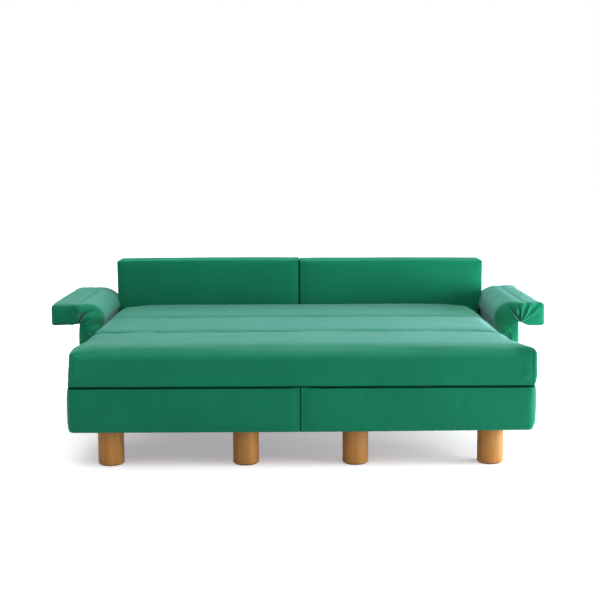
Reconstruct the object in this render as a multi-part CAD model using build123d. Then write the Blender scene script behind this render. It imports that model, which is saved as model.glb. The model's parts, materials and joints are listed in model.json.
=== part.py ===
from build123d import *
import math
import os

# Three-section pull-out sofa bed, shown as a bed. Millimetres, +Z up, +Y towards the back.
# The origin is on the floor under the middle of the open bed.
# A place along the depth is written as its distance behind the open bed's front face.

# Sleeping surface
base_width = 2000.0
section_pitch = 500.0
section_count = 3
section_thickness = 160.0
seam_gap = 6.0
front_cushion_inset = 5.0
inner_cushion_inset = 3.0
cushion_crown = 8.0
cushion_edge_radius = 40.0
cushion_bottom_radius = 8.0
cushion_bulge = 4.0
cushion_draw_in = 6.0
cushion_corner_radius = 26.0

# Upholstered base
base_height = 196.0
base_gap = 5.0
cover_thickness = 20.0
cover_corner_radius = 32.0
cover_edge_radius = 7.0
centre_gap = 6.0
board_thickness = 18.0
board_set_up = 6.0
module_gap = 8.0

# Legs
leg_height = 154.0
leg_diameter = 112.0
leg_outer_inset = 176.0
leg_inner_share = 0.238
leg_set_back = 30.0
leg_chamfer = 4.0
glide_thickness = 4.0
glide_diameter = 96.0
leg_rail_width = 112.0
leg_rail_thickness = 24.0
leg_bolt_diameter = 10.0
leg_bolt_depth = 60.0
leg_bolt_above = 12.0
leg_nut_diameter = 20.0
leg_nut_height = 8.0

# Fold linkage
fold_angle = 85.0
pivot_below_top = 20.0
fold_frame_height = 36.0
frame_rail_width = 24.0
frame_end_gap = 18.0
fold_pivot_drop = 2.0
frame_cross_rails = 3
plate_thickness = 4.0
plate_lane_gap = 3.0
plate_width = 32.0
plate_edge = 2.0
plate_foot = 120.0
pivot_pin_diameter = 10.0
plate_screw_diameter = 6.0
plate_screw_head = 3.0
seat_plate_low = 46.0
notch_depth = 38.0
notch_width = 29.0

# Slats
slat_thickness = 12.0
slat_width = 48.0
slat_count = 8
slat_sag = 3.0
seat_clearance = 0.3

# Telescopic guide rails
rail_height = 40.0
rail_depth = 20.0
rail_wall = 3.0
rail_lane_gap = 2.0
rail_front_room = 3.0
rail_overlap = 96.0
rail_rear_board_depth = 1532.0
slider_clearance = 0.3
slider_width = 14.0
slider_length = 36.0
slider_end = 20.0
slider_pin_diameter = 8.0

# Rear unit
carcass_gap = 12.0
back_gap = 20.0
back_thickness = 190.0
back_top = 753.0
back_edge_radius = 9.0
back_panel_thickness = 24.0
back_panel_margin = 44.0
post_width = 40.0
post_thickness = 6.0
post_low = 190.0
post_top_margin = 70.0
post_inset = 170.0
post_bolt_diameter = 8.0
post_bolt_rise = 55.0
post_bolt_shares = (0.25, 0.75)
pocket_clearance = 0.3

# Arms
arm_front_depth = 907.0
arm_gap = 5.0
arm_thickness = 100.0
arm_axis_height = 541.0
arm_reach = 182.0
arm_corner_radius = 24.0
arm_end_radius = 16.0
arm_board_thickness = 30.0
arm_board_margin = 40.0
arm_bottom = 156.0
arm_joint_clearance = 0.3
arm_lip = 20.0
arm_bolt_diameter = 8.0
arm_bolt_head_diameter = 16.0
arm_bolt_head = 5.0
flap_board_thickness = 16.0
flap_board_inset = 60.0
flap_board_margin = 22.0
ratchet_radius = 22.0
ratchet_disc_width = 6.0
ratchet_strap_width = 30.0
ratchet_strap_thickness = 4.0
ratchet_strap_length = 120.0
ratchet_slot_width = 37.0
ratchet_pin_diameter = 12.0
ratchet_inset = 110.0

# Fasteners
join_bolt_diameter = 8.0
join_bolt_length = 60.0
join_head_diameter = 15.0
join_head_height = 5.0
join_spacer_diameter = 20.0
join_bolt_margin = 92.0
bolt_clearance = 0.3
overrun = 5.0

# Places worked out from the sizes above
bed_depth = section_pitch * section_count
overall_depth = bed_depth + back_gap + back_thickness
base_top = leg_height + base_height
deck = base_top + base_gap
cushion_top = deck + section_thickness
inner_pad_thickness = section_thickness - fold_frame_height
half_width = base_width / 2
leg_outer_x = half_width - leg_outer_inset
leg_inner_x = half_width * leg_inner_share
pivot_height = cushion_top - pivot_below_top
fold_pivot_height = deck - fold_pivot_drop
link_rise = pivot_height - fold_pivot_height
link_length = math.hypot(section_pitch, link_rise)
link_angle = math.atan2(link_rise, section_pitch)
fold_turn = math.radians(fold_angle)
front_travel = 2 * link_length * (math.cos(link_angle) - math.cos(fold_turn - link_angle))
board_low = leg_height + board_set_up
slat_top = deck - seat_clearance
board_top = slat_top - slat_thickness
board_outer = half_width - cover_thickness
board_inner = module_gap / 2
frame_half_width = board_outer - plate_thickness - plate_lane_gap
front_cushion_width = 2 * (half_width - front_cushion_inset)
inner_cushion_width = 2 * (frame_half_width - inner_cushion_inset)
rail_top = deck - seat_clearance
rail_low = rail_top - rail_height
rear_front = section_pitch + front_travel + plate_width / 2 + carcass_gap
rear_board_back = overall_depth - cover_thickness
back_front = bed_depth + back_gap
rail_start = front_travel + cover_thickness + board_thickness + rail_front_room
rail_end = rail_start + rail_overlap + carcass_gap
arm_inner = half_width + arm_gap
arm_axis_x = arm_inner + arm_thickness / 2
arm_outer = arm_inner + arm_thickness
arm_radius = arm_thickness / 2
leg_front_depth = leg_set_back + leg_diameter / 2
leg_rail_rear_depth = rear_board_back - board_thickness - leg_rail_width
rear_leg_depths = (
    rear_front + board_thickness + leg_rail_width / 2,
    leg_rail_rear_depth + leg_rail_width / 2,
)
lane_frame = frame_half_width


def deep(distance):
    """The Y place that lies this far behind the open bed's front face."""
    return distance - overall_depth / 2


def block(x, depth, z):
    """A box between two X places, two depths and two heights."""
    size = Box(abs(x[1] - x[0]), abs(depth[1] - depth[0]), abs(z[1] - z[0]))
    return Pos((x[0] + x[1]) / 2, deep((depth[0] + depth[1]) / 2), (z[0] + z[1]) / 2) * size


def rod(x, depth, z, diameter):
    """A round bar along X."""
    bar = Rot(0, 90, 0) * Cylinder(diameter / 2, abs(x[1] - x[0]))
    return Pos((x[0] + x[1]) / 2, deep(depth), z) * bar


def upright(x, depth, z, diameter):
    """A round bar along Z."""
    bar = Cylinder(diameter / 2, z[1] - z[0])
    return Pos(x, deep(depth), (z[0] + z[1]) / 2) * bar


def cross_rod(x, depth, z, diameter):
    """A round bar along the depth."""
    bar = Rot(90, 0, 0) * Cylinder(diameter / 2, depth[1] - depth[0])
    return Pos(x, deep((depth[0] + depth[1]) / 2), z) * bar


def right_of(shape):
    """The same shape on the right-hand side."""
    return mirror(shape, about=Plane.YZ)


def both_sides(shapes):
    """Each shape and its twin on the other side."""
    return list(shapes) + [right_of(shape) for shape in shapes]


def save(name, shapes):
    """Writes one node, made of one or more separate solids."""
    shapes = shapes if isinstance(shapes, list) else [shapes]
    solids = [solid for shape in shapes for solid in shape.solids()]
    export_step(Compound(children=solids), f"parts/{name}.step")


def spaced(low, high, count):
    """Evenly spaced places from low to high, both included."""
    return [low + (high - low) * i / (count - 1) for i in range(count)]


# Cushions: three outlines, each pushed through, and what they share


def crowned_outline(low, high, crown, bulge, top_radius, bottom_radius):
    """An upright section: flat underneath, bulged at its sides and crowned on top."""
    (left, bottom), (right, top) = low, high
    middle_height = (bottom + top) / 2
    middle = (left + right) / 2
    edges = [
        Line((left + bulge, bottom), (right - bulge, bottom)),
        ThreePointArc((right - bulge, bottom), (right, middle_height), (right - bulge, top)),
        ThreePointArc((right - bulge, top), (middle, top + crown), (left + bulge, top)),
        ThreePointArc((left + bulge, top), (left, middle_height), (left + bulge, bottom)),
    ]
    outline = make_face(edges)
    corners = outline.vertices().sort_by(Axis.Y)
    outline = fillet(corners[2:], top_radius)
    return fillet(outline.vertices().sort_by(Axis.Y)[:2], bottom_radius)


def drawn_in_outline(low, high, draw_in, corner_radius):
    """A plan whose sides pull in between its corners."""
    (left, front), (right, back) = low, high
    middle_x = (left + right) / 2
    middle_y = (front + back) / 2
    edges = [
        ThreePointArc((left, front), (middle_x, front + draw_in / 2), (right, front)),
        ThreePointArc((right, front), (right - draw_in, middle_y), (right, back)),
        ThreePointArc((right, back), (middle_x, back - draw_in / 2), (left, back)),
        ThreePointArc((left, back), (left + draw_in, middle_y), (left, front)),
    ]
    outline = make_face(edges)
    return fillet(outline.vertices(), corner_radius)


def cushion(width, depth, z):
    """A crowned cushion between two depths and two heights."""
    half = width / 2
    front, back = deep(depth[0]), deep(depth[1])
    side = crowned_outline(
        (front, z[0]), (back, z[1]), cushion_crown, cushion_bulge,
        cushion_edge_radius, cushion_bottom_radius,
    )
    end = crowned_outline(
        (-half, z[0]), (half, z[1]), cushion_crown, cushion_bulge,
        cushion_edge_radius, cushion_bottom_radius,
    )
    plan = drawn_in_outline(
        (-half, front), (half, back), cushion_draw_in, cushion_corner_radius
    )
    along_x = extrude(Plane.YZ * side, amount=half + overrun, both=True)
    along_y = extrude(Plane.XZ * end, amount=overall_depth, both=True)
    along_z = extrude(plan, amount=cushion_top + cushion_crown + overrun)
    return along_x & along_y & along_z


def front_cushion():
    """The thick front cushion, with a notch at each rear corner for the hinge plates."""
    body = cushion(
        front_cushion_width, (0, section_pitch - seam_gap / 2), (deck, cushion_top)
    )
    notch = block(
        (-half_width - overrun, -half_width + notch_width),
        (section_pitch - notch_depth, section_pitch + overrun),
        (deck - overrun, cushion_top + cushion_crown + overrun),
    )
    return body - notch - right_of(notch)


def inner_cushion(start):
    """A thinner cushion that lies on a folding frame."""
    span = (start + seam_gap / 2, start + section_pitch - seam_gap / 2)
    return cushion(inner_cushion_width, span, (cushion_top - inner_pad_thickness, cushion_top))


# Upholstered base boxes, left-hand side


def box_cover(near, far, corner_at_front):
    """The padded skin of one base box: one long face and its outer side."""
    outer = block((-half_width, -centre_gap / 2), (near, far), (leg_height, base_top))
    face_depth = near if corner_at_front else far
    uprights = outer.edges().filter_by(Axis.Z)
    at_face = [e for e in uprights if abs(e.center().Y - deep(face_depth)) < seat_clearance]
    at_face = ShapeList(at_face).sort_by(Axis.X)
    outer = fillet([at_face[0]], cover_corner_radius)
    uprights = outer.edges().filter_by(Axis.Z)
    at_gap = [
        e for e in uprights
        if abs(e.center().Y - deep(face_depth)) < seat_clearance
        and abs(e.center().X + centre_gap / 2) < seat_clearance
    ]
    outer = fillet(at_gap, cover_edge_radius)
    rims = outer.faces().sort_by(Axis.Z)
    rim_edges = [*rims[0].edges(), *rims[-1].edges()]
    outer = fillet(rim_edges, cover_edge_radius / 2)
    if corner_at_front:
        room = (near + cover_thickness, far + overrun)
    else:
        room = (near - overrun, far - cover_thickness)
    inner = block(
        (-board_outer, centre_gap), room, (leg_height - overrun, base_top + overrun)
    )
    return outer - inner


def side_board(x_outer, near, far, top):
    """An upright board along the depth, from its outer face inwards."""
    inward = board_thickness if x_outer < -half_width / 2 else -board_thickness
    return block((x_outer, x_outer + inward), (near, far), (board_low, top))


def bolt_holes(places, x):
    """Round cutters along X, one at each depth and height."""
    size = arm_bolt_diameter + 2 * bolt_clearance
    return [rod(x, depth, z, size) for depth, z in places]


def cut_all(shape, cutters):
    """The shape with every cutter taken away."""
    for cutter in cutters:
        shape = shape - cutter
    return shape


def leg_rail(near, leg_depth):
    """The board that two legs are bolted to, with its two holes."""
    board = block(
        (-board_outer + board_thickness, -board_inner - board_thickness),
        (near, near + leg_rail_width),
        (board_low, board_low + leg_rail_thickness),
    )
    holes = [
        upright(
            -x, leg_depth, (board_low - overrun, deck),
            leg_bolt_diameter + 2 * bolt_clearance,
        )
        for x in (leg_outer_x, leg_inner_x)
    ]
    return cut_all(board, holes)


def join_places(near, far):
    """Where the left and right boxes are bolted together."""
    height = (board_low + rail_low) / 2
    return [(near + join_bolt_margin, height), (far - join_bolt_margin, height)]


def join_hole(depth, z):
    """The hole for one joining bolt."""
    return rod((-half_width / 2, 0), depth, z, join_bolt_diameter + 2 * bolt_clearance)


front_join = join_places(0, section_pitch)
rear_join = join_places(rear_front, rear_board_back - post_thickness)
arm_bolt_places = [
    (depth, height)
    for depth in spaced(rear_front + join_bolt_margin, rear_board_back - join_bolt_margin, 3)
    for height in (board_low + join_bolt_margin / 2, rail_low - join_bolt_margin / 2)
]


def front_box():
    """The boards of the left front box."""
    lane = rail_wall + rail_depth + rail_lane_gap + rail_depth
    x_low = -board_outer + board_thickness
    x_high = -board_inner - board_thickness
    near = cover_thickness + board_thickness
    front_board = block((-board_outer, -board_inner), (cover_thickness, near), (board_low, board_top))
    outer_side = side_board(-board_outer, near, section_pitch, board_top)
    inner_side = side_board(-board_inner, near, section_pitch, board_top)
    inner_side = cut_all(inner_side, [join_hole(*place) for place in front_join])
    rear = (section_pitch - board_thickness, section_pitch)
    rear_board = block((x_low, x_high), rear, (board_low, rail_low - rail_wall))
    rear_board += block((x_low + lane, x_high - lane), rear, (rail_low - rail_wall, board_top))
    rail = leg_rail(near, leg_front_depth)
    return [front_board, outer_side, inner_side, rear_board, rail]


def rear_box():
    """The boards of the left rear box."""
    x_low = -board_outer + board_thickness
    x_high = -board_inner - board_thickness
    near = rear_front
    far = rear_board_back - board_thickness
    outer_side = side_board(-board_outer, near, far, board_top)
    outer_side = cut_all(outer_side, bolt_holes(arm_bolt_places, (-half_width, -half_width / 2)))
    inner_side = side_board(-board_inner, near, far, board_top)
    inner_side = cut_all(inner_side, [join_hole(*place) for place in rear_join])
    back_board = block((-board_outer, -board_inner), (far, rear_board_back), (board_low, board_top))
    back_board = cut_all(back_board, post_bolt_holes())
    front_board = block((x_low, x_high), (near, near + board_thickness), (board_low, rail_low))
    stop = (rail_rear_board_depth, rail_rear_board_depth + board_thickness)
    cross_board = block((x_low, x_high), stop, (board_low + leg_rail_thickness, board_top))
    shelf_span = (stop[1], far - post_thickness - seat_clearance)
    shelf = block((x_low, x_high), shelf_span, (board_top - board_thickness, board_top))
    places = (near + board_thickness, leg_rail_rear_depth)
    rails = [leg_rail(place, depth) for place, depth in zip(places, rear_leg_depths)]
    return [outer_side, inner_side, back_board, front_board, cross_board, shelf, *rails]


# Legs, their bolts and glides


def leg(x, depth):
    """A turned cylinder, bored for its bolt and chamfered at the foot."""
    post = upright(x, depth, (glide_thickness, board_low), leg_diameter)
    foot = post.edges().filter_by(GeomType.CIRCLE).sort_by(Axis.Z)[0]
    post = chamfer(foot, leg_chamfer)
    bore = (board_low - leg_bolt_depth, board_low + overrun)
    return post - upright(x, depth, bore, leg_bolt_diameter + 2 * bolt_clearance)


def leg_bolt(x, depth):
    """A threaded rod from inside the leg to a nut on top of the leg rail."""
    rail_top_face = board_low + leg_rail_thickness
    top = rail_top_face + leg_bolt_above
    shank = upright(x, depth, (board_low - leg_bolt_depth, top), leg_bolt_diameter)
    return shank + upright(x, depth, (rail_top_face, rail_top_face + leg_nut_height), leg_nut_diameter)


def glide(x, depth):
    """A felt disc under a leg."""
    return upright(x, depth, (0, glide_thickness), glide_diameter)


# Guide rails, left-hand side


def channel(web_x, opening, depth):
    """A rail of C section whose flanges point towards opening, +1 or -1 along X."""
    tip = web_x + opening * rail_depth
    whole = block((web_x, tip), depth, (rail_low, rail_top))
    room = block(
        (web_x + opening * rail_wall, tip + opening * overrun),
        (depth[0] - overrun, depth[1] + overrun),
        (rail_low + rail_wall, rail_top - rail_wall),
    )
    return whole - room


def slider(web_x, opening, depth):
    """A nylon block that slides in the facing channel, and the pin that carries it."""
    inner = web_x + opening * rail_wall
    far_web = web_x + opening * (2 * rail_depth + rail_lane_gap)
    outer = far_web - opening * (rail_wall + slider_clearance)
    inside = rail_wall + slider_clearance
    body = block(
        (outer, outer - opening * slider_width),
        (depth - slider_length / 2, depth + slider_length / 2),
        (rail_low + inside, rail_top - inside),
    )
    height = (rail_low + rail_top) / 2
    pin = rod((inner, outer), depth, height, slider_pin_diameter)
    return body - pin, pin


def rail_lanes():
    """(wall face, direction into the box) of the outer and the inner rail pair."""
    return [(-board_outer + board_thickness, 1), (-board_inner - board_thickness, -1)]


def moving_rails():
    """The rails on the front box, with the pins of their rear sliders."""
    rails, sliders = [], []
    for wall, way in rail_lanes():
        start = cover_thickness + board_thickness
        body, pin = slider(wall, way, rail_end - slider_end)
        rails.append(channel(wall, way, (start, rail_end)) + pin)
        sliders.append(body)
    return rails, sliders


def fixed_rails():
    """The rails on the rear box, with the pins of their front sliders."""
    rails, sliders = [], []
    for wall, way in rail_lanes():
        web = wall + way * (2 * rail_depth + rail_lane_gap)
        body, pin = slider(web, -way, rail_start + slider_end)
        rails.append(channel(web, -way, (rail_start, rail_rear_board_depth)) + pin)
        sliders.append(body)
    return rails, sliders


# Folding frames, their slats and hinge plates


def fold_frame(front_gap, rear_gap, start):
    """The boards of one folding frame: two long rails and several cross rails."""
    near, far = start + front_gap, start + section_pitch - rear_gap
    z = (deck, deck + fold_frame_height)
    half = frame_half_width
    long_rails = [
        block((-half, half), (near, near + frame_rail_width), z),
        block((-half, half), (far - frame_rail_width, far), z),
    ]
    span = (near + frame_rail_width, far - frame_rail_width)
    centres = spaced(-half + frame_rail_width / 2, half - frame_rail_width / 2, frame_cross_rails)
    cross_rails = [
        block((x - frame_rail_width / 2, x + frame_rail_width / 2), span, z) for x in centres
    ]
    return long_rails + cross_rails


def slat(x, depth, top):
    """A thin bowed slat along the depth, its middle higher than its ends."""
    near, far = deep(depth[0]), deep(depth[1])
    middle = (near + far) / 2
    low = top - slat_thickness
    edges = [
        ThreePointArc((near, low), (middle, low + slat_sag), (far, low)),
        Line((far, low), (far, top - slat_sag)),
        ThreePointArc((far, top - slat_sag), (middle, top), (near, top - slat_sag)),
        Line((near, top - slat_sag), (near, low)),
    ]
    strip = extrude(Plane.YZ * make_face(edges), amount=slat_width / 2, both=True)
    return Pos(x, 0, 0) * strip


def slat_places(edge, centre):
    """Slat centres on the left half, clear of the rails and the centre board."""
    return [-x for x in spaced(centre + slat_width, edge - slat_width, slat_count)]


def frame_slats(front_gap, rear_gap, start):
    """The slats let in between the long rails of a folding frame."""
    near = start + front_gap + frame_rail_width + seat_clearance
    far = start + section_pitch - rear_gap - frame_rail_width - seat_clearance
    top = deck + fold_frame_height
    places = slat_places(frame_half_width - frame_rail_width, frame_rail_width / 2)
    return both_sides([slat(x, (near, far), top) for x in places])


def front_slats():
    """The slats that lie on the front box, under the front cushion."""
    lane = 2 * rail_depth + rail_lane_gap + rail_wall
    edge = board_outer - board_thickness - lane + slat_width / 2
    centre = board_inner + board_thickness + lane - slat_width / 2 + seat_clearance
    span = (cover_thickness + seat_clearance, section_pitch)
    return both_sides([slat(x, span, slat_top) for x in slat_places(edge, centre)])


def plate(x_face, outline):
    """A flat steel plate cut to an outline of (depth, height) points."""
    points = [(deep(depth), z) for depth, z in outline]
    sheet = extrude(Plane.YZ * make_face(Polyline(*points, close=True)), amount=plate_thickness)
    return Pos(-x_face - plate_thickness, 0, 0) * sheet


def eye(x_face, depth, z):
    """The rounded end of a hinge plate round its pivot."""
    return rod((-x_face, -x_face - plate_thickness), depth, z, plate_width)


def pin_hole(depth, z):
    """A running hole for a pivot pin, through every plate on the left."""
    return rod(
        (-half_width, -half_width / 2), depth, z, pivot_pin_diameter + 2 * bolt_clearance / 3
    )


def raised_plate(pivot_depth, direction):
    """The plate on a folding frame that climbs beside the cushion to a top pivot."""
    low, high = deck + plate_edge, deck + fold_frame_height - plate_edge
    reach = pivot_depth + direction * plate_foot
    half = plate_width / 2
    foot = plate(lane_frame, [
        (pivot_depth, low), (reach, low), (reach, high), (pivot_depth, high),
    ])
    riser = plate(lane_frame, [
        (pivot_depth - half, low), (pivot_depth + half, low),
        (pivot_depth + half, pivot_height), (pivot_depth - half, pivot_height),
    ])
    return foot + riser + eye(lane_frame, pivot_depth, pivot_height) - pin_hole(pivot_depth, pivot_height)


def fixed_plate(pivot_depth, behind):
    """The plate on a base box that carries a top pivot and its pin."""
    half = plate_width / 2
    low = board_low + seat_plate_low
    near, far = (pivot_depth - half, pivot_depth + half)
    foot_near, foot_far = (near - behind, far) if behind > 0 else (near, far - behind)
    strip = plate(board_outer, [
        (near, low), (far, low), (far, pivot_height), (near, pivot_height),
    ])
    foot = plate(board_outer, [
        (foot_near, low), (foot_far, low), (foot_far, board_top), (foot_near, board_top),
    ])
    pin = rod(
        (-lane_frame + bolt_clearance, -board_outer - plate_thickness),
        pivot_depth, pivot_height, pivot_pin_diameter,
    )
    return strip + foot + eye(board_outer, pivot_depth, pivot_height) + pin


def fold_strip(x_face, toward):
    """A low plate at the folding pivot that never dips below it, and its eye."""
    pivot = 2 * section_pitch
    top = deck + fold_frame_height - plate_edge
    reach = pivot + toward * plate_foot
    strip = plate(x_face, [
        (pivot, fold_pivot_height), (reach, fold_pivot_height), (reach, top), (pivot, top),
    ])
    return strip + eye(x_face, pivot, fold_pivot_height)


def fold_plate_rear():
    """The rear frame's plate at the folding pivot, with the pin."""
    pin = rod(
        (-lane_frame - plate_thickness, -board_outer - plate_thickness),
        2 * section_pitch, fold_pivot_height, pivot_pin_diameter,
    )
    return fold_strip(lane_frame, 1) + pin


def fold_plate_middle():
    """The middle frame's plate at the folding pivot, held off its rail by a packer."""
    pivot = 2 * section_pitch
    packer = block(
        (-board_outer, -lane_frame),
        (pivot - plate_foot, pivot - plate_width),
        (deck + plate_edge, deck + fold_frame_height - plate_edge),
    )
    return fold_strip(board_outer, -1) + packer - pin_hole(pivot, fold_pivot_height)


# Back rests, left-hand side


def back_span():
    """The left back rest's limits along X, depth and height."""
    x = (-half_width, -centre_gap / 2)
    return x, (back_front, overall_depth), (deck, back_top)


def panel_span():
    """The plywood panel inside the left back rest."""
    x, _, z = back_span()
    far = rear_board_back - board_thickness - post_thickness
    return (
        (x[0] + back_panel_margin, x[1] - back_panel_margin),
        (far - back_panel_thickness, far),
        (deck + back_panel_margin / 2, z[1] - back_panel_margin),
    )


def post_places():
    """The X places of the two posts of the left back rest."""
    x = back_span()[0]
    return [x[0] + post_inset, x[1] - post_inset]


def post_span():
    """The posts' limits along the depth and the height."""
    far = rear_board_back - board_thickness
    return (far - post_thickness, far), (post_low, back_top - post_top_margin)


def post_bolt_places():
    """(x, z) of every bolt through the posts: two in the box, two in the panel."""
    in_box = post_low + post_bolt_rise / 2
    panel_low = panel_span()[2][0]
    post_top = post_span()[1][1]
    in_panel = [panel_low + (post_top - panel_low) * share for share in post_bolt_shares]
    heights = (in_box, in_box + post_bolt_rise, *in_panel)
    return [(x, z) for x in post_places() for z in heights]


def post_bolt_holes():
    """Cutters along the depth for the post bolts."""
    reach = (back_front, overall_depth)
    size = post_bolt_diameter + 2 * bolt_clearance
    return [cross_rod(x, reach, z, size) for x, z in post_bolt_places()]


def back_pad():
    """The upholstery of the left back rest, open underneath for its panel and posts."""
    x, depth, z = back_span()
    body = fillet(block(x, depth, z).edges(), back_edge_radius)
    px, pd, pz = panel_span()
    grow = pocket_clearance
    body -= block(
        (px[0] - grow, px[1] + grow), (pd[0] - grow, pd[1] + grow), (deck - overrun, pz[1] + grow)
    )
    posts_depth, posts_z = post_span()
    for place in post_places():
        half = post_width / 2 + grow
        head = posts_depth[1] + join_head_height + grow
        body -= block(
            (place - half, place + half), (posts_depth[0] - grow, head),
            (deck - overrun, posts_z[1] + grow),
        )
    for bolt_x, bolt_z in post_bolt_places():
        head_room = (pd[0] - join_head_height - grow, pd[1])
        body -= cross_rod(bolt_x, head_room, bolt_z, join_head_diameter + 2 * grow)
    return body


def back_panel():
    """The plywood panel of the left back rest."""
    return cut_all(block(*panel_span()), post_bolt_holes())


def back_posts():
    """The two steel flats that carry the left back rest."""
    depth, z = post_span()
    half = post_width / 2
    posts = [block((x - half, x + half), depth, z) for x in post_places()]
    return [cut_all(post, post_bolt_holes()) for post in posts]


def post_bolts():
    """Bolts from the posts into the rear box and into the back rest's panel."""
    bolts = []
    (near, far), _ = post_span()
    for x, z in post_bolt_places():
        in_box = z < deck
        start = near if in_box else near - back_panel_thickness
        end = far + (board_thickness if in_box else 0)
        head_at = (start - join_head_height, start) if in_box else (end, end + join_head_height)
        bolt = cross_rod(x, (start, end), z, post_bolt_diameter)
        bolts.append(bolt + cross_rod(x, head_at, z, join_head_diameter))
    return bolts


# Arms, left-hand side


def arm_plan():
    """The arm's plan, with its free corners rounded."""
    x_low, x_high = -arm_axis_x - arm_reach, -arm_inner
    depth = (arm_front_depth, overall_depth)
    outline = Pos((x_low + x_high) / 2, deep(sum(depth) / 2)) * Rectangle(
        x_high - x_low, depth[1] - depth[0]
    )
    return fillet(outline.vertices(), arm_end_radius)


def through_arm(section):
    """An arm solid from its section across, kept inside the rounded plan."""
    bar = extrude(Plane.XZ * section, amount=overall_depth, both=True)
    room = extrude(arm_plan(), amount=back_top)
    return bar & room


def area(x, z):
    """A rectangle between two X places and two heights."""
    centre = Pos((x[0] + x[1]) / 2, (z[0] + z[1]) / 2)
    return centre * Rectangle(abs(x[1] - x[0]), abs(z[1] - z[0]))


def disc(radius):
    """A disc round the flap's pivot."""
    return Pos(-arm_axis_x, arm_axis_height) * Circle(radius)


def arm_pad():
    """The fixed lower part of the arm, with a round top for the flap to turn on."""
    shoulder = arm_axis_height - arm_radius
    slab = area((-arm_outer, -arm_inner), (arm_bottom, shoulder))
    slab = fillet(slab.vertices().sort_by(Axis.Y)[:2], arm_corner_radius / 2)
    inside = area((-arm_axis_x, -arm_inner), (shoulder - overrun, arm_axis_height))
    pad = through_arm(slab + inside + disc(arm_radius))
    grow = pocket_clearance
    x, depth, z = arm_board_span()
    pad -= block(
        (x[0] - grow, x[1] + grow), (depth[0] - grow, depth[1] + grow),
        (z[0] - grow, z[1] + grow),
    )
    for place in ratchet_places():
        pad -= block(
            (-arm_axis_x - arm_radius - overrun, -arm_axis_x + ratchet_radius + grow),
            (place - ratchet_slot_width / 2, place + ratchet_slot_width / 2),
            (shoulder - arm_joint_clearance, arm_axis_height + arm_radius + overrun),
        )
        strap_x, strap_z = fixed_strap_span()
        pad -= block(
            (strap_x[0], strap_x[1] + grow),
            (place - ratchet_slot_width / 2, place + ratchet_slot_width / 2),
            (strap_z[0] - grow, arm_axis_height),
        )
    return cut_all(pad, bolt_holes(arm_bolt_places, (-arm_axis_x, -half_width)))


def flap_pad():
    """The hinged upper part of the arm, as it lies when folded out."""
    low, high = arm_axis_height - arm_radius, arm_axis_height + arm_radius
    outer = -arm_axis_x - arm_reach
    slab = area((outer, -arm_outer), (low, high))
    slab = fillet(slab.vertices().sort_by(Axis.X)[:2], arm_corner_radius)
    lip = area((-arm_outer - overrun, -arm_axis_x - arm_lip), (arm_axis_height, high))
    pad = through_arm(slab + lip - disc(arm_radius + arm_joint_clearance))
    grow = pocket_clearance
    x, depth, z = flap_board_span()
    pad -= block(
        (x[0] - grow, x[1] + grow), (depth[0] - grow, depth[1] + grow),
        (z[0] - grow, z[1] + grow),
    )
    for place in ratchet_places():
        strap_x, strap_z = flap_strap_span()
        pad -= block(
            (strap_x[0] - grow, -arm_axis_x),
            (place - ratchet_slot_width / 2, place + ratchet_slot_width / 2),
            (strap_z[0], strap_z[1] + grow),
        )
    return pad


def arm_board_span():
    """The board inside the lower arm."""
    half = arm_board_thickness / 2
    return (
        (-arm_axis_x - half, -arm_axis_x + half),
        (arm_front_depth + arm_board_margin, overall_depth - arm_board_margin),
        (arm_bottom + arm_board_margin / 2, arm_axis_height - arm_radius - arm_board_margin / 4),
    )


def flap_board_span():
    """The board inside the flap."""
    half = flap_board_thickness / 2
    return (
        (-arm_axis_x - arm_reach + flap_board_margin, -arm_axis_x - flap_board_inset),
        (arm_front_depth + arm_board_margin, overall_depth - arm_board_margin),
        (arm_axis_height - half, arm_axis_height + half),
    )


def ratchet_places():
    """The depths of the two ratchet hinges of an arm."""
    return [arm_front_depth + ratchet_inset, overall_depth - ratchet_inset]


def fixed_strap_span():
    """The fixed strap's limits along X and Z, on the inner face of the arm board."""
    x = -arm_axis_x + arm_board_thickness / 2
    return (x, x + ratchet_strap_thickness), (arm_axis_height - ratchet_strap_length, arm_axis_height)


def flap_strap_span():
    """The flap strap's limits along X and Z, on top of the flap board."""
    z = arm_axis_height + flap_board_thickness / 2
    return (-arm_axis_x - ratchet_strap_length, -arm_axis_x), (z, z + ratchet_strap_thickness)


def ratchet_base(place):
    """The fixed half of a ratchet hinge, with its pin."""
    x, z = fixed_strap_span()
    half = ratchet_strap_width / 2
    strap = block(x, (place - half, place + half), z)
    edge = place - arm_joint_clearance / 2
    housing = cross_rod(
        -arm_axis_x, (edge - ratchet_disc_width, edge), arm_axis_height, 2 * ratchet_radius
    )
    pin = cross_rod(
        -arm_axis_x, (edge - ratchet_disc_width, edge + 2 * ratchet_disc_width),
        arm_axis_height, ratchet_pin_diameter,
    )
    near_disc = block(
        (x[0] - ratchet_strap_thickness, x[1] + overrun), (edge, place + half + overrun),
        (arm_axis_height - ratchet_radius - overrun, arm_axis_height + overrun),
    )
    return strap - near_disc + housing + pin


def ratchet_leaf(place):
    """The half of a ratchet hinge that turns with the flap."""
    x, z = flap_strap_span()
    half = ratchet_strap_width / 2
    edge = place + arm_joint_clearance / 2
    strap = block(x, (edge, edge + half), z)
    toothed = cross_rod(
        -arm_axis_x, (edge, edge + ratchet_disc_width), arm_axis_height, 2 * ratchet_radius
    )
    bore = ratchet_pin_diameter + 2 * bolt_clearance / 3
    reach = (edge - overrun, edge + 2 * half)
    return strap + toothed - cross_rod(-arm_axis_x, reach, arm_axis_height, bore)


def arm_packer():
    """The thin board between the rear box and the arm."""
    packer = block(
        (-arm_inner, -half_width), (rear_front + arm_gap, rear_board_back - cover_corner_radius),
        (board_low + board_thickness, rail_low),
    )
    return cut_all(packer, bolt_holes(arm_bolt_places, (-arm_axis_x, -half_width / 2)))


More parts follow.
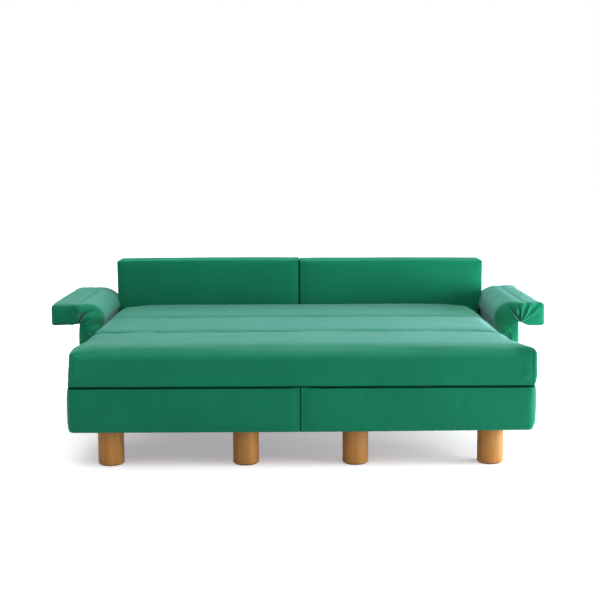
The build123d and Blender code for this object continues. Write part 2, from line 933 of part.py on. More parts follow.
def arm_bolt(depth, z):
    """A long bolt from inside the rear box into the arm board."""
    head_x = -board_outer + board_thickness
    tip = arm_board_span()[0][0]
    shank = rod((tip, head_x), depth, z, arm_bolt_diameter)
    return shank + rod((head_x, head_x + arm_bolt_head), depth, z, arm_bolt_head_diameter)


def join_bolt(depth, z):
    """A bolt and spacer that hold the left and right boxes together."""
    half = join_bolt_length / 2
    grip = board_inner + board_thickness
    shank = rod((-half, half), depth, z, join_bolt_diameter)
    spacer = rod((-board_inner, board_inner), depth, z, join_spacer_diameter)
    head = rod((-grip - join_head_height, -grip), depth, z, join_head_diameter)
    nut = rod((grip, grip + join_head_height), depth, z, join_head_diameter)
    return shank + spacer + head + nut


def plate_pocket(near, far):
    """Room in a base cover for a hinge plate."""
    return block(
        (-board_outer - plate_thickness - bolt_clearance, -board_outer + overrun),
        (near - plate_edge, far + plate_edge), (board_low, base_top + overrun),
    )


def build_front():
    """Everything that rolls forward: boxes, legs, rails, slats and the front cushion."""
    half = plate_width / 2
    front_plate = fixed_plate(section_pitch, plate_width)
    cover = box_cover(0, section_pitch, True)
    cover -= plate_pocket(section_pitch - half - plate_width, section_pitch + half)
    boards = front_box()
    save("front_box_left", boards)
    save("front_box_right", [right_of(board) for board in boards])
    save("front_cover_left", cover)
    save("front_cover_right", right_of(cover))
    for side, sign in (("left", -1), ("right", 1)):
        for place, x in (("outer", leg_outer_x), ("inner", leg_inner_x)):
            save(f"front_leg_{side}_{place}", leg(sign * x, leg_front_depth))
    places = [(s * x, leg_front_depth) for s in (-1, 1) for x in (leg_outer_x, leg_inner_x)]
    save("front_leg_bolts", [leg_bolt(*place) for place in places])
    save("front_leg_glides", [glide(*place) for place in places])
    rails, sliders = moving_rails()
    save("front_guide_rails", both_sides(rails))
    save("front_rail_sliders", both_sides(sliders))
    save("front_slats", front_slats())
    save("front_cushion", front_cushion())
    save("front_hinge_plates", both_sides([front_plate]))
    save("front_joining_bolts", [join_bolt(*place) for place in front_join])


def build_folding():
    """The two hinged frames with their slats, plates and cushions."""
    seat_end, far_end = section_pitch, 2 * section_pitch
    save("middle_frame", fold_frame(frame_end_gap, frame_end_gap, seat_end))
    save("middle_slats", frame_slats(frame_end_gap, frame_end_gap, seat_end))
    save("middle_cushion", inner_cushion(seat_end))
    middle_plates = [raised_plate(seat_end, 1), fold_plate_middle()]
    save("middle_hinge_plates", both_sides(middle_plates))
    save("rear_frame", fold_frame(frame_end_gap, frame_end_gap, far_end))
    save("rear_slats", frame_slats(frame_end_gap, frame_end_gap, far_end))
    save("rear_cushion", inner_cushion(far_end))
    save("rear_hinge_plates", both_sides([raised_plate(bed_depth, -1), fold_plate_rear()]))


def build_rear():
    """Everything that stays put: rear boxes, their legs, fixed rails and back rests."""
    half = plate_width / 2
    back_plate = fixed_plate(bed_depth, plate_width)
    cover = box_cover(rear_front, overall_depth, False)
    cover -= plate_pocket(bed_depth - half - plate_width, bed_depth + half)
    cover = cut_all(cover, bolt_holes(arm_bolt_places, (-arm_inner, -half_width / 2)))
    boards = rear_box()
    save("rear_box_left", boards)
    save("rear_box_right", [right_of(board) for board in boards])
    save("rear_cover_left", cover)
    save("rear_cover_right", right_of(cover))
    for side, sign in (("left", -1), ("right", 1)):
        legs = [
            leg(sign * x, depth) for depth in rear_leg_depths for x in (leg_outer_x, leg_inner_x)
        ]
        save(f"rear_legs_{side}", legs)
    places = [
        (sign * x, depth)
        for sign in (-1, 1) for x in (leg_outer_x, leg_inner_x) for depth in rear_leg_depths
    ]
    save("rear_leg_bolts", [leg_bolt(*place) for place in places])
    save("rear_leg_glides", [glide(*place) for place in places])
    rails, sliders = fixed_rails()
    save("rear_guide_rails", both_sides(rails))
    save("rear_rail_sliders", both_sides(sliders))
    save("back_hinge_plates", both_sides([back_plate]))
    save("rear_joining_bolts", [join_bolt(*place) for place in rear_join])
    pad, panel = back_pad(), back_panel()
    save("back_pad_left", pad)
    save("back_pad_right", right_of(pad))
    save("back_panel_left", panel)
    save("back_panel_right", right_of(panel))
    save("back_posts", both_sides(back_posts()))
    save("back_post_bolts", both_sides(post_bolts()))


def build_arms():
    """Both arms: the fixed lower part, the folded-out flap and the ratchets between."""
    bolts = [arm_bolt(*place) for place in arm_bolt_places]
    board = cut_all(block(*arm_board_span()), bolt_holes(arm_bolt_places, (-arm_outer, -half_width)))
    pieces = {
        "arm_pad": [arm_pad()],
        "arm_board": [board],
        "arm_packer": [arm_packer()],
        "arm_bolts": bolts,
        "arm_ratchet_bases": [ratchet_base(place) for place in ratchet_places()],
        "flap_pad": [flap_pad()],
        "flap_board": [block(*flap_board_span())],
        "flap_ratchet_leaves": [ratchet_leaf(place) for place in ratchet_places()],
    }
    for name, shapes in pieces.items():
        save(f"{name}_left", shapes)
        save(f"{name}_right", [right_of(shape) for shape in shapes])


build_front()
build_folding()
build_rear()
build_arms()
print("front travel", round(front_travel, 1))
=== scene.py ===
import bpy
import json
import math
import numpy as np
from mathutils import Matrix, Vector
from typing import NamedTuple


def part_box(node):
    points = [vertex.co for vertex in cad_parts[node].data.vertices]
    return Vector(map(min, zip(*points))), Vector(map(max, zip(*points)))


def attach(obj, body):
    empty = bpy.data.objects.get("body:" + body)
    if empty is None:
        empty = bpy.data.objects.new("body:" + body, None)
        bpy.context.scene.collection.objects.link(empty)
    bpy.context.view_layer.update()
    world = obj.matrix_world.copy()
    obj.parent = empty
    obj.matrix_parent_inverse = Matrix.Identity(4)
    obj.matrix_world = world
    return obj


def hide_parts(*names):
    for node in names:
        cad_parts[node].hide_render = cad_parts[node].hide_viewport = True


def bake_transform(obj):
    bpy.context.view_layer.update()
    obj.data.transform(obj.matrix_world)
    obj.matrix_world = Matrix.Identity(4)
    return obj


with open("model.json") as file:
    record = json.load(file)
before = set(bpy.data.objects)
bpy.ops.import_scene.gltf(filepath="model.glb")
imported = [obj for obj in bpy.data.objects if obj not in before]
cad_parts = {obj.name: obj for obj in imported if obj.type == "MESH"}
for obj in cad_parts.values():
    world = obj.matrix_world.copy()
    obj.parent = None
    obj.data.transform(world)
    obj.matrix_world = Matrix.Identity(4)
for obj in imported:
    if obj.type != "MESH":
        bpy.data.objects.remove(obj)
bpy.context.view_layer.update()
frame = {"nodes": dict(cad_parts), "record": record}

bl_info = {
    "name": "Pull-out sofa bed",
    "version": (1, 0, 0),
    "blender": (4, 5, 0),
    "location": "View3D > Sidebar > Sofa Bed",
    "description": "Upholstery, wood and metal finishes of a three-section pull-out sofa bed",
    "category": "Object",
}

SIGN = {"left": -1.0, "right": 1.0}
QUARTER_TURN = math.pi / 2
TINY = 1e-9


# Settings


def number(name, description, default, high, low=0.0, precision=2, unit="NONE"):
    """A setting that is one number."""
    return bpy.props.FloatProperty(
        name=name, description=description, default=default, min=low, max=high,
        precision=precision, unit=unit,
    )


def metres(name, description, default, high, low=0.0, precision=4):
    """A setting that is a length."""
    return number(name, description, default, high, low, precision, "LENGTH")


def tone(name, description, default):
    """A setting that is a colour."""
    return bpy.props.FloatVectorProperty(
        name=name, description=description, subtype="COLOR",
        size=3, min=0, max=1, default=default,
    )


class SofaBedFinishes(bpy.types.PropertyGroup):
    """Colours of the cover, the legs and the hidden parts, and the cover's threads."""

    cover: tone("Cover", "Woven cover fabric", (0.0100, 0.204, 0.101))
    legs: tone("Legs", "Lacquered beech of the round legs", (0.545, 0.232, 0.048))
    boards: tone("Boards", "Raw plywood of boxes and frames", (0.50, 0.36, 0.21))
    slats: tone("Slats", "Bent birch slats", (0.62, 0.47, 0.30))
    steel: tone("Painted steel", "Dark powder coat on rails and plates", (0.008, 0.075, 0.042))
    thread: metres(
        "Thread pitch", "Distance between neighbouring threads of the cover",
        0.0011, 0.01, low=0.0004, precision=5,
    )
    stitch: metres("Stitch length", "Length of one stitch and the space after it", 0.0046, 0.02, low=0.002)
    stitch_inset: metres(
        "Stitch inset", "Distance of the row of stitches from its seam", 0.0062, 0.02, low=0.002,
    )
    gap_height: metres("Gap height", "Height of the shut gap between mattress and base", 0.3500, 1)


class SofaBedMattress(bpy.types.PropertyGroup):
    """How full and how creased the three mattress sections are."""

    crown: metres("Crown", "Rise of a section at its middle", 0.006, 0.03)
    front_edge: metres(
        "Front edge", "Rounding of the front section's upper front edge", 0.046, 0.07, low=0.01,
    )
    left_draw: metres("Left draw", "How far the left ends' upper edges are drawn in", 0.024, 0.06)
    right_draw: metres("Right draw", "How far the right ends' upper edges are drawn in", 0.046, 0.06)
    front_reach: metres(
        "Front reach", "How far back the rounding of the front edge starts", 0.135, 0.2, low=0.01,
    )
    hinge_edge: metres(
        "Hinge edge", "Rounding of an upper edge that lies at a top hinge", 0.008, 0.05, low=0.005,
    )
    lap_edge: metres(
        "Lap edge", "Rounding of the front section's lowered rear edge", 0.012, 0.05, low=0.005,
    )
    fold_edge: metres(
        "Fold edge", "Rounding where two sections meet at the folding hinge", 0.009, 0.05, low=0.005,
    )
    bottom_edge: metres("Bottom edge", "Rounding of the lower edges", 0.009, 0.05, low=0.003)
    end_depth: metres(
        "End depth", "Depth of the rounding of a section's two ends", 0.015, 0.03, low=0.004,
    )
    end_swell: metres("End swell", "Extra swell of the front section's right end panel", 0.011, 0.03)
    end_lean: metres("End lean", "How far the front section's left end leans out below", 0.009, 0.03)
    end_cover: metres(
        "End cover", "How far the rear sections' ends reach over the hinge plates", 0.015, 0.02,
    )
    rim_drop: metres(
        "Rim drop", "How far the front section's lower rim sags to the base", 0.0030, 0.01,
    )
    lap: metres(
        "Lap", "How far the front section's rear edge lies under the next one", 0.005, 0.03,
    )
    tuck: metres("Tuck", "How far the cover is tucked in under an edge at a seam", 0.010, 0.03)
    ripple: metres("Ripples", "Height of the soft ripples in the cover", 0.0009, 0.01)
    slack: number(
        "Slack", "Share by which the cover is larger than its filling", 0.010, 0.05, precision=4,
    )
    swell: metres("Swell limit", "Farthest that the filling may push the cover out", 0.005, 0.03)


class SofaBedBoards(bpy.types.PropertyGroup):
    """Shape of the padded boards: the back rest's halves and the base covers."""

    edge: metres("Edge", "Rounding of the back rest's edges", 0.010, 0.05, low=0.003)
    puff: metres("Puff", "Swell of the large faces of the back rest and the base", 0.0035, 0.02)
    nest: metres("Nest", "How far one half's inner end swells into the other's", 0.0022, 0.01)
    touch: metres("Touch", "Space left between the two halves", 0.0008, 0.01, low=0.0002)
    corner: metres("Lower corner", "Rounding of the base's lower outer corners", 0.021, 0.05)


class SofaBedArms(bpy.types.PropertyGroup):
    """Shape of the folded-out arms."""

    thickness: metres("Thickness", "Thickness of the padded arm slab", 0.1, 0.2, low=0.05)
    dome_height: metres(
        "Dome height", "Rounding of the bend's two ends, across the slab", 0.088, 0.088, low=0.02,
    )
    dome_depth: metres(
        "Dome depth", "Rounding of the bend's two ends, along the arm", 0.100, 0.1, low=0.01,
    )
    roll: metres("Roll", "How far the roll of the bend swells inwards", 0.020, 0.03)
    recess: metres("Recess", "How far the roll's ends fall back from crease to skin", 0.018, 0.1)
    rear_dome: number("Rear dome", "Share of the dome that the bend's rear end has", 0.3, 1)
    crease: metres("Crease", "Depth of the deepest fold that runs out from the bend", 0.024, 0.04)


class SofaBedStudio(bpy.types.PropertyGroup):
    """Camera and light."""

    camera_place: bpy.props.FloatVectorProperty(
        name="Camera place", description="Camera place in the sofa bed's frame",
        subtype="TRANSLATION", unit="LENGTH", size=3, default=(-0.0159, -5.8008, 1.3374),
    )
    camera_turn: bpy.props.FloatVectorProperty(
        name="Camera turn", description="Tilt, roll and heading of the camera",
        subtype="EULER", unit="ROTATION", size=3,
        default=(math.radians(90 - 7.0748), math.radians(0.2314), math.radians(-0.2036)),
    )
    lens: number("Lens", "Focal length on a 36 mm wide sensor, in millimetres", 70.99, 300, low=10)
    ceiling: number("Ceiling light", "Strength of the broad light from above", 2.55, 10)
    window: number("Window light", "Power of the upright light on the right, in watts", 63, 1000)
    rear_window: number("Rear light", "Power of the high light behind the sofa bed, in watts", 170, 1000)
    side_window: number("Side light", "Power of the light at the right side, in watts", 52, 1000)
    room: number("Room light", "Strength of the even light from all round", 0.34, 2)


# Surfaces


def smooth(t):
    """3 t^2 - 2 t^3, held at 0 below 0 and at 1 above 1."""
    t = np.clip(t, 0, 1)
    return t * t * (3 - 2 * t)


def fading(distance, reach):
    """1 at 0 and below, 0 at the reach and beyond, and smooth between."""
    return 1 - smooth(distance / reach)


def bell(t):
    """exp(-t^2)."""
    return np.exp(-t * t)


def mixed(first, second, share):
    """first where share is 0, second where it is 1, and evenly between."""
    return first + (second - first) * share


def stepped_lines(low, high, zones, step):
    """Grid lines from low to high. A zone is a distance from both ends and the spacing
    up to there, the nearest zone first, and step is the spacing of the rest."""
    edge = np.zeros(1)
    for reach, gap in zones:
        count = max(1, round((reach - edge[-1]) / gap))
        edge = np.concatenate([edge, np.linspace(edge[-1], reach, count + 1)[1:]])
    start, end = low + edge[-1], high - edge[-1]
    middle = np.linspace(start, end, max(1, math.ceil((end - start) / step)) + 1)
    return np.concatenate([low + edge[:-1], middle, high - edge[:-1][::-1]])


def with_bend(lines, start, end, count):
    """Grid lines with count even lines from start to end in place of those there."""
    gap = (end - start) / count
    bend = np.linspace(start, end, count)
    return np.concatenate([lines[lines < start - gap], bend, lines[lines > end + gap]])


def block_grid(xs, ys, zs):
    """The closed outside of a box as one grid of quads: the six faces share the grid
    lines xs, ys and zs. Returns points, quads and, per quad corner, the two flat
    coordinates that lie in its face, in metres."""
    ny, nz = len(ys), len(zs)
    counts = (len(xs), ny, nz)
    quads, pairs = [], []
    for across, first, second in ((2, 0, 1), (0, 1, 2), (1, 2, 0)):
        for far in (False, True):
            grid = [None, None, None]
            rows = np.arange(counts[first])
            columns = np.arange(counts[second])
            grid[first], grid[second] = np.meshgrid(rows, columns, indexing="ij")
            grid[across] = np.full_like(grid[first], counts[across] - 1 if far else 0)
            key = (grid[0] * ny + grid[1]) * nz + grid[2]
            quad = np.stack([key[:-1, :-1], key[1:, :-1], key[1:, 1:], key[:-1, 1:]], -1)
            quad = quad.reshape(-1, 4)
            quads.append(quad if far else quad[:, ::-1])
            pairs.append(np.tile(sorted((first, second)), (len(quad), 1)))
    keys, index = np.unique(np.concatenate(quads), return_inverse=True)
    quads = index.reshape(-1, 4)
    points = np.stack([xs[keys // (ny * nz)], ys[(keys // nz) % ny], zs[keys % nz]], -1)
    pair = np.repeat(np.concatenate(pairs)[:, None, :], 4, axis=1)
    return points, quads, np.take_along_axis(points[quads], pair, axis=2).reshape(-1, 2)


def box_of(node):
    """The two corners of a CAD node's box, as arrays."""
    return [np.array(corner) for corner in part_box(node)]


def grid_lines(low, high, grid):
    """The grid lines of a box along x, y and z. grid has zones and a step for each."""
    return [stepped_lines(low[i], high[i], *grid[i]) for i in range(3)]


def box_grid(low, high, grid):
    """The outside of a box as one grid of quads, with its own lines along each axis."""
    return block_grid(*grid_lines(low, high, grid))


def from_face(points, low, high, axis, side):
    """How far points lie in from a box's face across an axis: the low face where side
    is below 0, and else the high one."""
    return high[axis] - points[:, axis] if side > 0 else points[:, axis] - low[axis]


def from_ends(points, low, high, axis=0):
    """How far points lie in from the nearer of a box's two faces across an axis."""
    return np.minimum(points[:, axis] - low[axis], high[axis] - points[:, axis])


def rounded(points, low, high, near, far):
    """Rounds a box. Each point is drawn to the nearest point of the box shrunk by its
    radii and put back out along the line between them, so every edge is part of an
    ellipse. near and far are the radii along x, y and z on the low and high sides,
    alike for all points or one row for each."""
    core = np.clip(points, low + near, high - far)
    away = points - core
    radii = np.where(away > 0, far, near) * np.ones_like(points)
    unit = away / radii
    length = np.linalg.norm(unit, axis=1, keepdims=True)
    return core + unit / np.maximum(length, TINY) * radii


def normals_of(points, quads):
    """Unit normals: each point adds up the cross products of its quads' diagonals."""
    first = points[quads[:, 2]] - points[quads[:, 0]]
    second = points[quads[:, 3]] - points[quads[:, 1]]
    total = np.zeros_like(points)
    np.add.at(total, quads.ravel(), np.repeat(np.cross(first, second), 4, axis=0))
    return total / np.maximum(np.linalg.norm(total, axis=1, keepdims=True), TINY)


def waves(u, v, seed, length_u, length_v, count=6):
    """A sum of sines, between about -1 and 1. Their wave lengths spread round length_u
    and length_v, and a slow sine bends the phase of each."""
    pick = np.random.default_rng(seed)
    total = np.zeros_like(u)
    for _ in range(count):
        across = length_u * pick.uniform(0.7, 1.8) * pick.choice([-1, 1])
        along = length_v * pick.uniform(0.7, 1.8)
        phase = pick.uniform(0, 2 * np.pi, 2)
        bend = pick.uniform(0.5, 1.3) * np.sin(np.pi * u / length_u + phase[0])
        total += np.sin(2 * np.pi * (u / across + v / along) + bend + phase[1])
    return total / (0.75 * count)


def bent(s, a, straight, radius, start, along, outward):
    """Bends a flat slab in its own plane by a quarter turn. s is the way along its
    middle line: straight, then an arc of that radius, then straight again. a is the
    height over the middle line on the outer side. start, along and outward are 2D."""
    along, outward = np.array(along), np.array(outward)
    angle = np.clip((s - straight) / radius, 0, QUARTER_TURN)[:, None]
    centre = np.array(start) + along * straight - outward * radius
    spoke = outward * np.cos(angle) + along * np.sin(angle)
    ahead = along * np.cos(angle) - outward * np.sin(angle)
    before = np.minimum(s - straight, 0)
    after = np.maximum(s - straight - radius * QUARTER_TURN, 0)
    return centre + spoke * (radius + a)[:, None] + ahead * (before + after)[:, None]


def seam_distance(flat, low, high, axis, ends=(0, 1)):
    """For each point of a box, how far it lies from the outline of its faces across
    axis, measured along the skin, and the way along that outline."""
    others = [other for other in range(3) if other != axis]
    gap = np.stack([flat - low, high - flat])
    inside = gap[:, :, others].min((0, 2))
    near = gap[list(ends), :, axis].min(0)
    return np.where(near < TINY, inside, near), flat[:, others].sum(1)


def mesh_piece(name, points, quads, flat=None, seam=None):
    """A smooth shaded object at the origin, with the flat weave coordinates as its UV
    map, and the distance from and the way along its seams as attributes."""
    mesh = bpy.data.meshes.new(name)
    mesh.vertices.add(len(points))
    mesh.vertices.foreach_set("co", points.astype(np.float32).ravel())
    mesh.loops.add(quads.size)
    mesh.loops.foreach_set("vertex_index", quads.astype(np.int32).ravel())
    mesh.polygons.add(len(quads))
    mesh.polygons.foreach_set("loop_start", np.arange(0, quads.size, 4, dtype=np.int32))
    mesh.update(calc_edges=True)
    mesh.polygons.foreach_set("use_smooth", np.ones(len(quads), bool))
    if flat is not None:
        weave = mesh.uv_layers.new(name="Weave")
        weave.data.foreach_set("uv", flat.astype(np.float32).ravel())
    if seam is not None:
        for label, values in zip(("seam_far", "seam_run"), seam):
            attribute = mesh.attributes.new(label, "FLOAT", "POINT")
            attribute.data.foreach_set("value", values.astype(np.float32))
    piece = bpy.data.objects.new(name, mesh)
    bpy.context.scene.collection.objects.link(piece)
    return piece


def places_of(mesh):
    """The points of a mesh as an array."""
    flat = np.zeros(len(mesh.vertices) * 3, np.float32)
    mesh.vertices.foreach_get("co", flat)
    return flat.reshape(-1, 3).astype(float)


def fill_cover(piece, held, pressure, slack, limit):
    """Fills a cover like a cushion. Cloth that is slack by a share of its size is blown
    up for twenty frames with no gravity, held points stay where they are, and a move m
    is shortened to limit * tanh(m / limit)."""
    frames = 20
    points = places_of(piece.data)
    scene = bpy.context.scene
    group = piece.vertex_groups.new(name="held")
    group.add(np.flatnonzero(held).tolist(), 1.0, "REPLACE")
    cloth = piece.modifiers.new("Filling", "CLOTH")
    rules = cloth.settings
    rules.quality = 4
    rules.mass = 0.25
    rules.tension_stiffness = 25
    rules.compression_stiffness = 25
    rules.shear_stiffness = 12
    rules.bending_stiffness = 0.6
    rules.vertex_group_mass = group.name
    rules.use_pressure = True
    rules.uniform_pressure_force = pressure
    rules.shrink_min = -slack
    rules.effector_weights.gravity = 0
    cloth.collision_settings.use_collision = False
    cloth.point_cache.frame_start = 1
    cloth.point_cache.frame_end = frames
    for step in range(1, frames + 1):
        scene.frame_set(step)
    shown = piece.evaluated_get(bpy.context.evaluated_depsgraph_get())
    moved = places_of(shown.data) - points
    piece.modifiers.remove(cloth)
    piece.vertex_groups.remove(group)
    scene.frame_set(1)
    length = np.linalg.norm(moved, axis=1, keepdims=True)
    return points + moved * limit * np.tanh(length / limit) / np.maximum(length, TINY)


def upholster(piece, points, nodes, body):
    """Puts the final points into a padded piece, gives it one smooth subdivision, the cover
    and its body, and hides the CAD nodes that it stands for."""
    piece.data.vertices.foreach_set("co", points.astype(np.float32).ravel())
    piece.data.update()
    finer = piece.modifiers.new("Smooth", "SUBSURF")
    finer.levels = 1
    finer.render_levels = 1
    piece.data.materials.append(finish(woven_cover))
    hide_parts(*nodes)
    if body:
        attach(piece, body)


def seam_relief(far, ridge, ridge_width, groove, groove_place, groove_width):
    """The height of a seam's relief: a bell-shaped ridge on it and a groove beside it."""
    return ridge * bell(far / ridge_width) - groove * bell((far - groove_place) / groove_width)


def turned_over(quads, flat):
    """The same quads and their flat coordinates with the other side outwards."""
    return quads[:, ::-1], flat.reshape(-1, 4, 2)[:, ::-1].reshape(-1, 2)


# Finishes


class Wire:
    """A shader socket that adds, multiplies and so on like a number."""

    def __init__(self, sheet, socket):
        self.sheet = sheet
        self.socket = socket

    def maths(self, operation, *values):
        return self.sheet.add("Math", values, operation=operation)

    def __add__(self, other):
        return self.maths("ADD", self, other)

    __radd__ = __add__

    def __sub__(self, other):
        return self.maths("SUBTRACT", self, other)

    def __rsub__(self, other):
        return self.maths("SUBTRACT", other, self)

    def __mul__(self, other):
        return self.maths("MULTIPLY", self, other)

    __rmul__ = __mul__

    def __truediv__(self, other):
        return self.maths("DIVIDE", self, other)

    def __lt__(self, other):
        return self.maths("LESS_THAN", self, other)

    def larger(self, other):
        return self.maths("MAXIMUM", self, other)

    def sine(self):
        return self.maths("SINE", self)

    def size(self):
        return self.maths("ABSOLUTE", self)

    def part(self):
        return self.maths("FRACT", self)

    def between(self, low, high):
        """0 at low, 1 at high and smooth between."""
        values = {"Value": self, "From Min": low, "From Max": high}
        return self.sheet.add("MapRange", values, interpolation_type="SMOOTHSTEP")


class Sheet:
    """The nodes of a material or world, with one way to add any node."""

    def __init__(self, owner):
        owner.use_nodes = True
        owner.node_tree.nodes.clear()
        self.owner = owner
        self.tree = owner.node_tree

    def add(self, kind, values=(), out=0, **settings):
        """A node of a kind, with its settings and a value or link per socket. Returns
        the output socket of that number or name."""
        node = self.tree.nodes.new(f"ShaderNode{kind}")
        for key, value in settings.items():
            setattr(node, key, value)
        pairs = values.items() if isinstance(values, dict) else enumerate(values)
        for key, value in pairs:
            if isinstance(value, Wire):
                self.tree.links.new(value.socket, node.inputs[key])
            else:
                node.inputs[key].default_value = value
        return Wire(self, node.outputs[out]) if len(node.outputs) else None

    def place(self):
        """Object coordinates."""
        return self.add("TexCoord", out="Object")

    def attribute(self, name):
        """A number kept on the piece's points."""
        return self.add("Attribute", out="Fac", attribute_name=name)

    def noise(self, vector, scale, detail=3.0, rough=0.5):
        """Cloudy noise between 0 and 1, drawn out where scale is one for each axis."""
        if isinstance(scale, tuple):
            vector = self.add("VectorMath", [vector, scale], operation="MULTIPLY")
            scale = 1.0
        values = {"Vector": vector, "Scale": scale, "Detail": detail, "Roughness": rough}
        return self.add("TexNoise", values)

    def tint(self, factor, first, second):
        """Mixes two colours by a factor."""
        pair = [c if isinstance(c, Wire) else (*c, 1) for c in (first, second)]
        values = {0: factor, 6: pair[0], 7: pair[1]}
        return self.add("Mix", values, out=2, data_type="RGBA")

    def bump(self, height, distance, strength):
        """A normal that follows a height."""
        values = {"Height": height, "Distance": distance, "Strength": strength}
        return self.add("Bump", values)

    def surface(self, colour, rough, normal, plain):
        """The finished material: colour, roughness and normal vary, the rest is plain."""
        values = {"Base Color": colour, "Roughness": rough, "Normal": normal, **plain}
        shader = self.add("BsdfPrincipled", values)
        self.add("OutputMaterial", {"Surface": shader})
        return self.owner


def shade(colour, factor):
    """A colour times a number."""
    return tuple(channel * factor for channel in colour)


def woven_cover(sheet, looks):
    """Plain woven cotton. Over and under threads are the product of two sines, slubs
    are noise drawn out along either thread, and a row of stitches in a slight trough
    follows each seam. The faces in the shut gaps, over the base and in the middle of
    the sofa, get painted shade: a darker colour and no sheen. The back rest's top has
    less sheen."""
    weave = sheet.add("UVMap", uv_map="Weave")
    u = sheet.add("SeparateXYZ", [weave], out=0)
    v = sheet.add("SeparateXYZ", [weave], out=1)
    turn = math.pi / looks.thread
    over = (u * turn).sine() * (v * turn).sine()
    long_slubs = sheet.noise(weave, (38.0, 900.0, 1.0), 2.0)
    cross_slubs = sheet.noise(weave, (900.0, 38.0, 1.0), 2.0)
    grain = (long_slubs + cross_slubs) * 0.5
    cloud = sheet.noise(sheet.place(), 3.1, 4.0, 0.6)
    from_row = (sheet.attribute("seam_far") - looks.stitch_inset).size()
    dash = (sheet.attribute("seam_run") / looks.stitch).part() < 0.64
    thread = (from_row < looks.thread * 0.45) * dash
    trough = 1 - from_row.between(0.0, looks.thread * 2.4)
    dark, pale = shade(looks.cover, 0.94), shade(looks.cover, 1.07)
    base = sheet.tint(cloud.between(0.30, 0.70), dark, pale)
    base = sheet.tint(grain.between(0.36, 0.64) * 0.20, base, shade(looks.cover, 1.25))
    base = sheet.tint((1 - over.between(-0.9, 0.2)) * 0.12, base, shade(looks.cover, 0.7))
    base = sheet.tint(thread * 0.8, base, shade(looks.cover, 1.7))
    facing = sheet.add("TexCoord", out="Normal")
    gap_core, gap_edge, gap_painted_shade = 0.005, 0.008, 0.7
    top_start, top_end, top_calm, sheen = 0.68, 0.72, 0.75, 0.43
    # pressed marks the faces in the shut gaps, across x at the middle of the sofa and across z at the gap
    # height; these faces get painted shade below
    pressed = 0.0
    for axis, gap in ((0, 0.0), (2, looks.gap_height)):
        along = sheet.add("SeparateXYZ", [sheet.place()], out=axis)
        across = sheet.add("SeparateXYZ", [facing], out=axis).size()
        in_gap = 1 - (along - gap).size().between(gap_core, gap_edge)
        pressed = (in_gap * across.between(0.15, 0.5)).larger(pressed)
    # No sheen in the shut gaps, as part of their painted shade, and less sheen on the back rest's top
    sheen_share = (1 - pressed) * (1 - along.between(top_start, top_end) * top_calm)
    # Painted shade: the cover in the shut gaps is darkened towards a quarter of its colour
    base = sheet.tint(pressed * gap_painted_shade, base, shade(looks.cover, 0.25))
    height = over * 0.6 + grain * 0.8 - trough * 0.9 + thread * 1.6
    normal = sheet.bump(height, looks.thread * 0.25, 0.55)
    return sheet.surface(base, grain * 0.08 + 0.88, normal, {
        "Specular IOR Level": 0.0, "Sheen Weight": sheen_share * sheen,
        "Sheen Roughness": 0.46, "Sheen Tint": (0.62, 0.85, 1.0, 1),
    })


def lacquered_beech(sheet, looks):
    """Beech with grain drawn out up the leg, short dark flecks and a thin lacquer."""
    place = sheet.place()
    figure = sheet.noise(place, (24.0, 24.0, 3.0), 5.0, 0.6)
    fine = sheet.noise(place, (420.0, 420.0, 14.0), 3.0, 0.6)
    flecks = sheet.noise(place, (800.0, 800.0, 120.0), 1.0, 0.5)
    dark, pale = shade(looks.legs, 0.84), shade(looks.legs, 1.15)
    base = sheet.tint(figure.between(0.32, 0.70), dark, pale)
    base = sheet.tint(fine.between(0.42, 0.72) * 0.35, base, shade(looks.legs, 0.70))
    base = sheet.tint(flecks.between(0.60, 0.72) * 0.5, base, shade(looks.legs, 0.48))
    return sheet.surface(base, fine * 0.14 + 0.40, sheet.bump(fine, 0.0002, 0.5), {
        "Specular IOR Level": 0.4, "Coat Weight": 0.12, "Coat Roughness": 0.3,
    })


def raw_wood(sheet, colour, stretch, contrast):
    """Unfinished wood: grain drawn out along one axis, and finer pores the same way."""
    place = sheet.place()
    grain = sheet.noise(place, stretch, 5.0, 0.6)
    pores = sheet.noise(place, shade(stretch, 9), 2.0, 0.6)
    dark, pale = shade(colour, 1 - contrast), shade(colour, 1 + contrast)
    base = sheet.tint(grain.between(0.34, 0.68), dark, pale)
    base = sheet.tint(pores.between(0.52, 0.75) * 0.4, base, shade(colour, 0.6))
    normal = sheet.bump(grain + pores * 0.6, 0.0004, 0.5)
    return sheet.surface(base, pores * 0.2 + 0.62, normal, {"Specular IOR Level": 0.3})


def plywood(sheet, looks):
    """Birch plywood boards with long grain along the sofa."""
    return raw_wood(sheet, looks.boards, (6.0, 70.0, 110.0), 0.14)


def bent_birch(sheet, looks):
    """Sprung slats with long grain from front to back."""
    return raw_wood(sheet, looks.slats, (120.0, 8.0, 120.0), 0.09)


def powder_coat(sheet, looks):
    """Painted steel: a fine orange-peel skin and faint rubbed patches."""
    place = sheet.place()
    peel = sheet.noise(place, 900.0, 2.0)
    worn = sheet.noise(place, 22.0, 5.0, 0.65)
    base = sheet.tint(worn.between(0.55, 0.8) * 0.5, looks.steel, shade(looks.steel, 2.2))
    normal = sheet.bump(peel, 0.0002, 0.6)
    return sheet.surface(base, worn * 0.2 + 0.52, normal, {"Specular IOR Level": 0.3})


def matching_paint(sheet, looks):
    """Matt paint in the colour of the cover, with a fine orange-peel skin."""
    place = sheet.place()
    cloudy = sheet.noise(place, 30.0, 3.0)
    base = sheet.tint(cloudy, looks.cover, shade(looks.cover, 0.85))
    normal = sheet.bump(sheet.noise(place, 900.0, 2.0), 0.0002, 0.4)
    return sheet.surface(base, cloudy * 0.1 + 0.75, normal, {"Specular IOR Level": 0.1})


